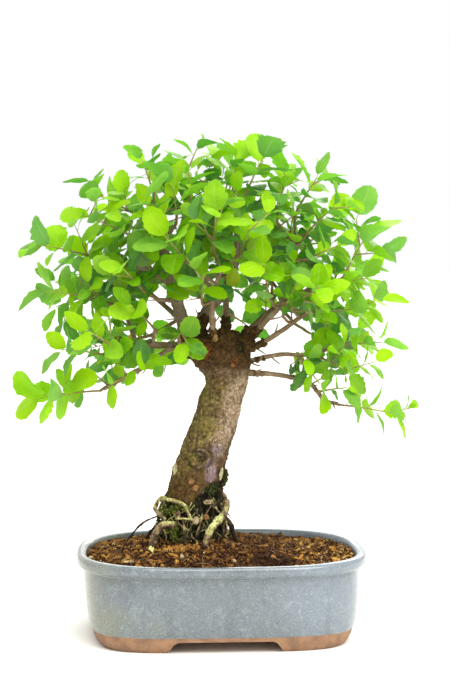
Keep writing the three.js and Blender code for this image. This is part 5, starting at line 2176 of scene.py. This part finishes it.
    def build(self) -> None:
        """Builds the trunk and gives its bark relief and weights."""
        trunk = self.grown_together()
        places = [millimetres(corner.co) for corner in trunk.data.vertices]
        normals = [corner.normal.copy() for corner in trunk.data.vertices]
        smooth_bark = [self.weights(place, normal) for place, normal in zip(places, normals)]
        for corner, place, normal, weight in zip(trunk.data.vertices, places, normals, smooth_bark):
            calm = 1 - 0.5 * weight["mauve"]
            corner.co += normal * (self.relief(place, weight["rot_and_shade"]) * calm * MM)
        for name in ("lichen_and_shade", "dark", "mauve", "wound", "rot_and_shade"):
            weigh(trunk, name, [weight[name] for weight in smooth_bark])
        dress(trunk, TrunkBark().material())
        finish_piece(trunk, "bark", 80, "wood")


@dataclass
class Roots:
    """Weathered surface roots, rounds of callus, flaps of bark and old cuts on the trunk."""

    pale: tuple[float, ...] = (0.14, 0.12, 0.07, -0.25, -0.05, 0.08, -0.1, -0.02, 0.2, -0.05, -0.2, 0.12,
                               -0.35, -0.15, -0.15, -0.25)
    slim: tuple[float, ...] = (0.84, 0.84, 0.8, 0.7, 0.8, 0.8, 0.7, 0.7, 0.84, 0.8, 0.5, 0.55, 0.55, 0.9,
                               0.9, 0.4)
    ball_tones: tuple[float, ...] = (0.28, 0.22, 0.28, 0.74, 0.72)
    rootlet_count: int = 96
    seed: int = 5

    def build(self) -> None:
        """Builds the roots and all that sits on the trunk."""
        bark, cut = ROOT_BARK.material(), CUT_WOOD.material()
        self.roots(bark)
        self.balls(cut)
        self.cuts(cut)
        self.flaps(bark, cut)
        self.moss()

    def roots(self, bark: Material) -> None:
        """Lays the surface roots over the trunk's foot, with rootlets that cross beside them.

        Args:
            bark: their material.
        """
        chance = random.Random(self.seed)
        pile = Pile()
        for row, (first, last, points) in enumerate(ROOTS):
            steps = 12 * (len(points) - 1)
            path = smooth_path(points, steps)
            radii, tones = [], []
            for i, place in enumerate(path):
                swell = 1 + 0.34 * lumps(place, 8) + 0.16 * lumps(place, 2.5)
                high = smooth_step(126, 140, place.z) if row in (8, 9) else 0.0
                ends = clamp(0.25 + 5 * i / steps) * (1 - 0.4 * high)
                radii.append((first + (last - first) * i / steps) * swell * ends * self.slim[row])
                # Painted shade: roots darken where they run down below about 100 mm, and rows 8 and 9 near
                # their tops, where they go into the trunk.
                painted_shade = 0.24 * (1 - smooth_step(92, 108, place.z)) if row > 3 else 0.0
                painted_shade += 0.3 * high
                tones.append(self.pale[row] - 0.03 + 0.3 * lumps(place, 6) - painted_shade)
            # top paints a highlight: each root's upper side gets a paler tone.
            pile.tube(path, radii, 14 if first > 3 else 10, tones=tones, rough=0.26, top=0.17)
        for _ in range(self.rootlet_count):
            angle = chance.uniform(math.pi * 0.9, math.pi * 2.1)
            high = chance.uniform(98, 140)
            drift = chance.uniform(-0.2, 0.2)
            drop = chance.uniform(1.5, 7.0)
            path = []
            for step in range(8):
                z = max(high - drop * step, 84.0)
                _, x, y, half_width, half_depth = Trunk.row(z)
                out = 0.98 + 0.03 * step * chance.random()
                angle += drift + chance.uniform(-0.12, 0.12)
                spot = Vec(x + half_width * out * math.cos(angle), y + half_depth * out * math.sin(angle), z)
                path.append(spot)
            if path[-1].z == path[-2].z:
                continue
            radius = chance.choice((0.3, 0.4, 0.5, 0.7, 1.0))
            tone = chance.choice((-0.4, -0.3, -0.2, -0.1, 0.05, 0.15))
            radii = [radius * (1.1 - 0.06 * i) for i in range(8)]
            # top paints a highlight: each rootlet's upper side gets a paler tone.
            pile.tube(path, radii, 6, tones=[tone], rough=0.2, top=0.12)
        finish_piece(pile.piece("surface_roots", bark), "bark", 60)

    def balls(self, cut: Material) -> None:
        """Models the small lumpy callus balls and the root stubs that face the viewer.

        Args:
            cut: their material.
        """
        balls = zip(KNOBS[KNOT + 1:], self.ball_tones)
        for number, ((centre, halves), tone) in enumerate(balls, start=1):
            ball = add_shape("uv_sphere", f"callus_ball_{number}", segments=20, ring_count=14, radius=1)
            for corner in ball.data.vertices:
                dent = 0.3 * bell(math.hypot(corner.co.x, corner.co.y), 0.4) if corner.co.z > 0 else 0.0
                corner.co *= 1 + 0.32 * lumps(corner.co * 1.3 + Vector((number * 5, 0, 0))) - dent
            put(ball, Vec(*centre), Matrix.Rotation(1.3, 4, "X"), (halves[0], halves[2], halves[1]))
            weigh(ball, "tone", [tone + 0.3 * lumps(corner.co, 2 * MM) for corner in ball.data.vertices])
            dress(ball, cut)
            finish_piece(ball, "bark", 60)

    def cuts(self, cut: Material) -> None:
        """Models the bright cut end of the foot root and the small cuts on trunk and head.

        Args:
            cut: their material.
        """
        places = [
            (Vec(-69, -43.2, 88.5), Vec(0.1, -0.9, 0.4), (3.0, 4.6), 1.0),
            (Vec(-6, -23.5, 291), Vec(-0.1, -1, 0.3), (2.2, 3.6), 0.55),
            (Vec(-2.5, -24.4, 187), Vec(0.1, -1, 0.1), (1.9, 1.5), 0.8),
            (Vec(-20, -21, 276), Vec(-0.5, -0.9, 0.2), (2.0, 3.0), 0.05),
            (Vec(10, -25.2, 265), Vec(0.3, -1, 0.0), (1.8, 2.2), 0.1),
        ]
        for number, (centre, normal, (wide, high), tone) in enumerate(places, start=1):
            disc = add_shape("circle", f"old_cut_{number}", vertices=22, radius=1, fill_type="NGON")
            with editing(disc):
                bpy.ops.mesh.extrude_region_move(TRANSFORM_OT_translate={"value": (0, 0, 0.5)})
                for inset, lift in ((0.16, -0.12), (0.22, 0.05), (0.25, -0.08)):
                    bpy.ops.mesh.inset(thickness=inset)
                    bpy.ops.transform.translate(value=(0, 0, lift))
                bpy.ops.mesh.select_all(action="SELECT")
                bpy.ops.mesh.normals_make_consistent(inside=False)
            put(disc, centre, Vector(normal).to_track_quat("Z", "Y").to_matrix().to_4x4(), (wide, high, 1.6))
            for corner in disc.data.vertices:
                corner.co += corner.normal * lumps(corner.co, 2 * MM) * 0.35 * MM
            weigh(disc, "tone", [tone] * len(disc.data.vertices))
            dress(disc, cut)
            finish_piece(disc, "bark", 50)

    def flaps(self, bark: Material, cut: Material) -> None:
        """Models the curled flaps of torn bark at both sides of the trunk.

        Args:
            bark: the material of the dark ones.
            cut: the material of the pale ones.
        """
        places = [
            (Vec(3.4, -15, 154), (6.5, 17), 0.6, -0.3), (Vec(-0.6, -21, 159), (3.6, 13), 0.5, 0.84),
            (Vec(-44.9, -14, 163), (4.2, 12), -0.7, 0.86), (Vec(-21, -29.5, 143), (6, 8), -0.2, -0.15),
            (Vec(-62, -20, 131), (3, 9), -1.0, 0.1), (Vec(-43, -31, 121), (5, 8), -0.5, 0.05),
        ]
        for number, (centre, (wide, high), turn, tone) in enumerate(places, start=1):
            flap = add_shape("grid", f"bark_flap_{number}", x_subdivisions=8, y_subdivisions=16, size=1)
            for corner in flap.data.vertices:
                across, up, _ = corner.co
                ragged = 0.55 * lumps((up * 9, number * 3.7, 1 if across > 0 else -1))
                narrow = max(1 - abs(2 * up) ** 2.4 + ragged, 0.08)
                curl = 0.5 * across * across + 0.35 * across * up + 0.12 * lumps(corner.co * 5)
                tip = up + 0.05 * lumps((across * 6, number, 0))
                corner.co = (across * narrow * wide, -curl * wide * 0.9, tip * high)
            put(flap, centre, Matrix.Rotation(turn, 4, "Z") @ Matrix.Rotation(0.2, 4, "Y"), (1, 1, 1))
            apply_modifier(flap, "SOLIDIFY", thickness=0.9 * MM, offset=0)
            pale = tone > 0.5
            stray = 0.08 if pale else 0.25
            weigh(flap, "tone", [tone + stray * lumps(corner.co, 3 * MM) for corner in flap.data.vertices])
            dress(flap, cut if pale else bark)
            finish_piece(flap, "bark", 50)

    def moss(self) -> None:
        """Grows tufts of moss between the roots and on the soil."""
        chance = random.Random(self.seed + 1)
        model = add_shape("cone", vertices=3, radius1=0.24, depth=1, location=(0, 0, 0.4))
        apply_place(model)
        blade = Pattern.taken_from(model)
        beds = [
            (Vec(-47, -32, 104), Vec(4, 4, 9), 300), (Vec(-48, -28, 125), Vec(8, 4, 5), 150),
            (Vec(-36, -34, 100), Vec(6, 4, 8), 120), (Vec(-56, -31, 108), Vec(7, 5, 4), 80),
            (Vec(-58, -18, 121), Vec(5, 5, 9), 220), (Vec(-36, -33, 128), Vec(8, 3, 3), 60),
            (Vec(-92, -46, 79), Vec(5, 4, 1), 60), (Vec(60, -20, 79), Vec(8, 5, 1), 40),
            (Vec(-20, -31, 110), Vec(9, 4, 8), 70), (Vec(10, 24, 90), Vec(12, 8, 3), 90),
            (Vec(-60, 20, 92), Vec(10, 8, 4), 90), (Vec(4, -17, 151), Vec(4, 4, 9), 90),
            (Vec(-10, -29, 143), Vec(6, 3, 6), 70),
        ]
        pile = Pile()
        for centre, halves, count in beds:
            for _ in range(count):
                place = centre + Vec(*(chance.gauss(0, 0.5) * half for half in halves))
                lean = (chance.uniform(-0.7, 0.7), -0.7 + chance.uniform(-0.6, 0.6), chance.uniform(0.1, 1.2))
                turn = Vector(lean).to_track_quat("Z", "Y").to_matrix()
                size = chance.uniform(1.3, 2.7)
                tone = chance.random() * (0.4 if centre.z > 140 else 1)
                pile.add(blade, lambda corner: place + Vec(*(turn @ Vector(corner))) * size, tone)
        finish_piece(pile.piece("moss_tufts", MOSS.material()), "leaf")


class LeafKind(Enum):
    """The outlines of the tree's leaves: bluntness, depth of the teeth and share of the full width."""

    BROAD = (0.46, 0.03, 0.98)
    OVAL = (0.56, 0.05, 0.88)
    LONG = (0.70, 0.05, 0.70)
    TOOTHED = (0.56, 0.11, 0.90)

    def half_width(self, along: float) -> float:
        """Half the blade's width, without teeth, at a share of its length."""
        blunt, _, wide = self.value
        return math.sin(math.pi * along ** 0.92) ** blunt * wide


@dataclass
class Crown:
    """Limbs, twigs and the leafy shoots that the growth rule has placed."""

    growth: Growth
    columns: int = 4
    rows: int = 10
    stalk: float = 0.12  # share of a leaf's length that is stalk
    fullness: float = 1.13  # how much wider the blades are than the room they asked for
    thickness: float = 0.36
    spread: Vec = Vec(185, 130, 155)  # from the crown's middle to its outermost leaves
    seed: int = 77
    # Shoots whose leaves are larger or smaller, and lighter or darker, than the rule has them
    habits: dict[str, tuple[float, float]] = field(default_factory=lambda: {
        "droop_right_tip": (1.4, 0.0), "droop_right_mid": (1.2, 0.0), "right_low_front": (1.15, 0.0),
        "right_tall": (1.15, 0.0), "crown_left": (1.22, 0.0), "crown_mid_left": (1.25, 0.0),
        "crown_mid": (1.25, 0.0), "crown_mid_right": (1.25, 0.0), "crown_right": (1.25, 0.0),
        "crown_far_right": (1.22, 0.0), "left_crown_sprig": (1.25, 0.0), "right_crown_sprig": (1.2, 0.0),
        "left_shoulder_high": (1.15, 0.0), "left_upper": (1.15, 0.0), "right_side": (1.12, 0.0),
        "front_of_head": (0.82, -0.35), "front_left_low": (1.0, -0.2),
        "centre_front": (1.0, -0.2), "right_low": (1.1, 0.0), "front_right": (1.0, -0.15),
        "front_left": (1.0, -0.15), "centre_right_high": (1.0, -0.12),
    })
    chance: random.Random = field(init=False)
    patterns: dict[LeafKind, Pattern] = field(init=False)

    def __post_init__(self) -> None:
        """Models each kind of leaf once."""
        self.chance = random.Random(self.seed)
        self.patterns = {kind: self.model_leaf(kind) for kind in LeafKind}

    def model_leaf(self, kind: LeafKind) -> Pattern:
        """Models one leaf: a blade that is thickest at its midrib, on a thin stalk.

        X is the share of the half width, Y the share of the length and Z the lift in millimetres.

        Args:
            kind: the leaf's outline.

        Returns:
            The leaf's pattern, with the upper face in slot 0, the lower in 1 and the stalk in 2.
        """
        teeth = kind.value[1]
        blade = add_shape("grid", x_subdivisions=self.columns, y_subdivisions=self.rows, size=2)
        for corner in blade.data.vertices:
            across, along = corner.co.x, (corner.co.y + 1) / 2
            row = round(along * self.rows)
            along = 0.72 * along + 0.28 * (0.5 - 0.5 * math.cos(math.pi * along))
            width = kind.half_width(along) if 0 < row < self.rows else 0.0
            if abs(across) > 0.9 and 1 < row < self.rows:
                width *= 1 + teeth * (1 if row % 2 else -1)
                along += 0.012 * (row % 2)
            corner.co = (across * width, self.stalk + (1 - self.stalk) * along, 0)
        dress(blade, None, None, None)
        with editing(blade):
            bpy.ops.mesh.remove_doubles(threshold=1e-5)
            bpy.ops.mesh.duplicate()
            bpy.ops.mesh.flip_normals()
        for face in blade.data.polygons:
            face.material_index = int(face.select)
        for corner in blade.data.vertices:
            margin = self.at_margin(corner.co, kind)
            corner.co.z = 0.0 if margin else (-1 if corner.select else 1) * self.thickness / 2
        with editing(blade):
            bpy.ops.mesh.remove_doubles(threshold=1e-5)
        return Pattern.taken_from(blade)

    def at_margin(self, place: Vector, kind: LeafKind) -> bool:
        """Tells whether a corner of a flat blade lies on its outline."""
        along = (place.y - self.stalk) / (1 - self.stalk)
        return along < 0.001 or along > 0.999 or abs(place.x) > 0.7 * kind.half_width(along)

    def leaf_tone(self, leaf: Leaf, young: float) -> float:
        """Draws a leaf's tone: dark inside the crown and bright at its outside, partly old and young leaves
        and partly painted shade and light, and bright at the tips of shoots.

        Args:
            leaf: the leaf.
            young: how much brighter it is than others there.

        Returns:
            The shade, from 0, old and dark, over 0.6, young, to 1, yellow.
        """
        away = leaf.base + leaf.heading * (leaf.length * 0.6) - CANOPY_MIDDLE
        out = math.hypot(away.x / self.spread.x, away.y / self.spread.y, away.z / self.spread.z)
        # Painted shade and light: leaves deeper in the crown get darker tones and those at its outside
        # brighter.
        tone = 0.10 + 0.48 * smooth_step(0.35, 1.0, out) + young + self.chance.gauss(0, 0.14)
        if out < 0.6 and young < 0 and self.chance.random() < 0.03:
            return self.chance.uniform(0.83, 0.92)
        if out < 0.85 and self.chance.random() < 0.07:
            return self.chance.uniform(0.0, 0.004)
        return clamp(tone, self.chance.uniform(0.0, 0.08), self.chance.uniform(0.56, 0.66))

    def add_leaf(self, pile: Pile, leaf: Leaf, young: float, size: float = 1.07) -> None:
        """Adds one leaf to a pile, arched and waved as the growth rule lets it be.

        Args:
            pile: the pile.
            leaf: the leaf's stance.
            young: how much brighter it is than others there.
            size: how much larger it is than the growth rule has it.
        """
        leaf = replace(leaf, length=leaf.length * size, width=leaf.width * size)
        kinds = [LeafKind.BROAD, LeafKind.OVAL, LeafKind.OVAL, LeafKind.LONG, LeafKind.LONG, LeafKind.TOOTHED]
        kind = self.chance.choice(kinds)
        cup = self.chance.uniform(-0.02, 0.045)
        roll = self.chance.uniform(-0.35, 0.35)
        droop = self.chance.uniform(-0.5, 1.8)
        ripple = self.chance.uniform(0.3, 1.1)
        phase = self.chance.uniform(0, 6.28)

        def spot(corner: Vec) -> Vec:
            """Where a corner of the flat pattern goes on the bent leaf."""
            across = corner.x * leaf.width * self.fullness / 2
            share = corner.y
            arch = 1.5 * math.sin(math.pi * min(share * 1.15, 1)) - (1.3 + droop) * share ** 3
            wave = 0.4 * corner.x * math.sin(7 * share)
            wave += ripple * corner.x ** 2 * math.sin(13 * share + phase)
            lift = arch + wave + corner.z + (cup * across + roll * share) * across
            return (leaf.base + leaf.heading * (leaf.length * share + across * 0.06) + leaf.side * across
                    + leaf.face * lift)

        pile.add(self.patterns[kind], spot, self.leaf_tone(leaf, young))
        stalk = []
        for step in range(3):
            share = (self.stalk + 0.01) * step / 2
            stalk.append(leaf.base + leaf.heading * (leaf.length * share)
                         + leaf.face * (1.5 * math.sin(math.pi * share * 1.15)))
        pile.tube(stalk, [0.42, 0.34, 0.32], 3, slot=2, tones=[0.85])

    def add_stem(self, pile: Pile, stem: Bend, leaves: Sequence[Leaf], first: float, last: float,
                 woody: float) -> None:
        """Adds a shoot's stem as far as its last leaf.

        Args:
            pile: the pile.
            stem: the stem's curve.
            leaves: the leaves that it bears.
            first: its radius at its foot.
            last: its radius at its tip.
            woody: its shade at its foot, less than that of the green tip.
        """
        steps = 8
        end = min(max(leaf.share for leaf in leaves) + 0.02, 1.0)
        path = [stem.point(end * i / steps) for i in range(steps + 1)]
        radii = [first + (last - first) * i / steps for i in range(steps + 1)]
        tones = [woody + (0.95 - woody) * i / steps for i in range(steps + 1)]
        pile.tube(path, radii, 6, slot=2, tones=tones, rough=0.1)

    def shoots(self, skins: Sequence[Material]) -> None:
        """Builds the main shoots, each in the place of its solid.

        Args:
            skins: the materials of the leaves' two faces and of the stems.
        """
        for shoot, stem, leaves in zip(self.growth.shoots, self.growth.stems, self.growth.leaves):
            pile = Pile()
            self.add_stem(pile, stem, leaves, 1.1, 0.55, 0.55)
            size, shade = self.habits.get(shoot.name, (1.07, 0.0))
            for leaf in leaves:
                self.add_leaf(pile, leaf, 0.14 * leaf.share + shade, size)
            piece = pile.piece(f"leaves_{shoot.name}", *skins)
            finish_piece(piece, "leaf", replaced=f"shoot_{shoot.name}")

    def side_shoots(self, skins: Sequence[Material]) -> None:
        """Builds the side shoots, gathered by the main shoot that each grows beside.

        Args:
            skins: the materials of the leaves' two faces and of the stems.
        """
        piles: dict[int, Pile] = {}
        for bud, stem, leaves in self.growth.side_shoots:
            pile = piles.setdefault(bud.nearest, Pile())
            start = bud.place + (stem.start - bud.place).unit() * (bud.radius * 0.6)
            self.add_stem(pile, Bend(start, stem.point(0.4), stem.end), leaves, 0.85, 0.45, 0.4)
            for leaf in leaves:
                self.add_leaf(pile, leaf, young=-0.03)
        for nearest, pile in sorted(piles.items()):
            finish_piece(pile.piece(f"side_leaves_{self.growth.shoots[nearest].name}", *skins), "leaf")

    def wood(self, bark: Material) -> None:
        """Builds the limbs, then the twigs that leave them.

        Args:
            bark: their material.
        """
        limbs = Pile()
        for first, last, points in LIMBS:
            steps = 14 * (len(points) - 1)
            path = smooth_path(points, steps)
            radii = []
            for i, place in enumerate(path):
                swell = 1 + 0.10 * lumps(place, 10) + 0.06 * lumps(place, 3)
                radii.append((first + (last - first) * i / steps) * swell)
            tone = 0.13 if first > 5 else 0.26
            tones = [tone * smooth_step(18, 42, (place - HEAD).length()) for place in path]
            limbs.tube(path, radii, 16 if first > 5 else 12, tones=tones, rough=0.12)
        finish_piece(limbs.piece("limbs", bark), "bark", 60)
        twigs = Pile()
        for number, twig in enumerate(self.growth.twigs):
            steps = 14
            path, radii = [], []
            for i in range(steps + 1):
                share = i / steps
                bent = math.sin(math.pi * share)
                stray = Vec(*(lumps((number * 7.3 + axis * 31, share * 4.5, 0.5)) for axis in range(3)))
                path.append(twig.course.point(share) + stray * (1.6 * bent))
                radius = twig.first * 0.95 + (1.2 - twig.first * 0.95) * share
                radii.append(radius * (1.12 if i % 4 == 2 else 1.0))
            twigs.tube(path, radii, 8, tones=[0.2 + 0.03 * i for i in range(steps + 1)], rough=0.12)
        self.bare_twigs(twigs)
        finish_piece(twigs.piece("twigs", bark), "bark", 60)

    def bare_twigs(self, pile: Pile) -> None:
        """Adds dead spurs inside the crown, where leaves have dropped.

        Args:
            pile: the pile that they join.
        """
        for limb in limb_stations():
            for (place, radius), (after, _) in zip(limb[3::2], limb[4::2]):
                run = (after - place).unit()
                away = Vec(*(self.chance.uniform(-1, 1) for _ in range(3)))
                heading = (run * 0.8 + away).unit()
                length = self.chance.uniform(9, 20)
                tip = place + heading * length + Vec(0, 0, self.chance.uniform(-2, 5))
                bend = Bend(place, place + heading * (length * 0.5), tip)
                path = [bend.point(i / 5) for i in range(6)]
                pile.tube(path, [0.9, 0.85, 0.8, 0.7, 0.6, 0.4], 5, tones=[0.35], rough=0.15)

    def build(self, bark: Material) -> None:
        """Builds all the wood above the head and all the leaves.

        Args:
            bark: the material of limbs, twigs and stems.
        """
        self.wood(bark)
        skins = [LEAF_TOP.material(), LEAF_UNDER.material(), bark]
        self.shoots(skins)
        self.side_shoots(skins)
        count = sum(map(len, self.growth.leaves))
        more = sum(len(grown[-1]) for grown in self.growth.side_shoots)
        log.info("%d leaves on main shoots, %d on %d side shoots", count, more, len(self.growth.side_shoots))


@dataclass
class Studio:
    """White paper, soft light from all round and the camera of the photograph."""

    distance: float = 1471.0
    height: float = 370.0
    azimuth: float = -3.3
    pitch: float = 3.1
    lens: float = 80.0
    shift: float = 0.0065
    world_strength: float = 1.0
    overhead_power: float = 2.1
    floor_size: float = 60.0

    def hang(self, name: str, data: bpy.types.ID, place: Vector, view: Vector) -> Thing:
        """Puts a light or a camera in the scene.

        Args:
            name: its name.
            data: the light or camera itself.
            place: where it hangs.
            view: the direction that it looks in.

        Returns:
            Its object.
        """
        made = bpy.data.objects.new(name, data)
        made.location = place
        made.rotation_mode = "QUATERNION"
        made.rotation_quaternion = view.to_track_quat("-Z", "Y")
        bpy.context.scene.collection.objects.link(made)
        return made

    def camera(self) -> None:
        """Places the camera, level with the crown and slightly to the left."""
        around, down = math.radians(self.azimuth), math.radians(self.pitch)
        seat = metres(Vec(math.sin(around) * self.distance, -math.cos(around) * self.distance, self.height))
        level = math.cos(down)
        view = Vector((-math.sin(around) * level, math.cos(around) * level, -math.sin(down)))
        data = bpy.data.cameras.new("camera")
        data.lens = self.lens
        data.sensor_width = 36
        data.shift_x = self.shift
        bpy.context.scene.camera = self.hang("camera", data, seat, view)

    def softbox(self, name: str, place: Vec, size: float, power: float) -> None:
        """Hangs a square soft light that faces the middle of the tree.

        Args:
            name: its name.
            place: where it hangs.
            size: its width in metres.
            power: its power in watts.
        """
        data = bpy.data.lights.new(name, "AREA")
        data.size = size
        data.energy = power
        self.hang(name, data, metres(place), metres(Vec(0, 0, 220)) - metres(place))

    def build(self) -> None:
        """Sets up the paper, the lights and the camera."""
        scene = bpy.context.scene
        scene.view_settings.view_transform = "Standard"
        floor = add_shape("plane", "studio_floor", size=self.floor_size)
        dress(floor, StudioFloor().material())
        scene.world = bpy.data.worlds.new("studio")
        scene.world.use_nodes = True
        sky = scene.world.node_tree.nodes["Background"]
        sky.inputs["Color"].default_value = (1, 1, 1, 1)
        sky.inputs["Strength"].default_value = self.world_strength
        data = bpy.data.lights.new("overhead_light", "SUN")
        data.energy = self.overhead_power
        data.angle = math.radians(45)
        self.hang("overhead_light", data, Vector(), Vector((-0.03, 0.46, -1)))
        self.softbox("key_light", Vec(900, -1100, 1300), 0.9, 16)
        self.softbox("rim_light", Vec(300, 1300, 1000), 1.2, 14)
        self.camera()


def main() -> None:
    """Builds the studio and the plant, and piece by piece."""
    logging.basicConfig(level=logging.INFO, format="%(name)s: %(message)s", stream=sys.stdout)
    Studio().build()
    twig = TWIG_BARK.material()
    Pot().build()
    Screens().build()
    Soil().build(twig)
    Trunk().build()
    Roots().build()
    Crown(Growth()).build(twig)


if __name__ == "__main__":
    main()
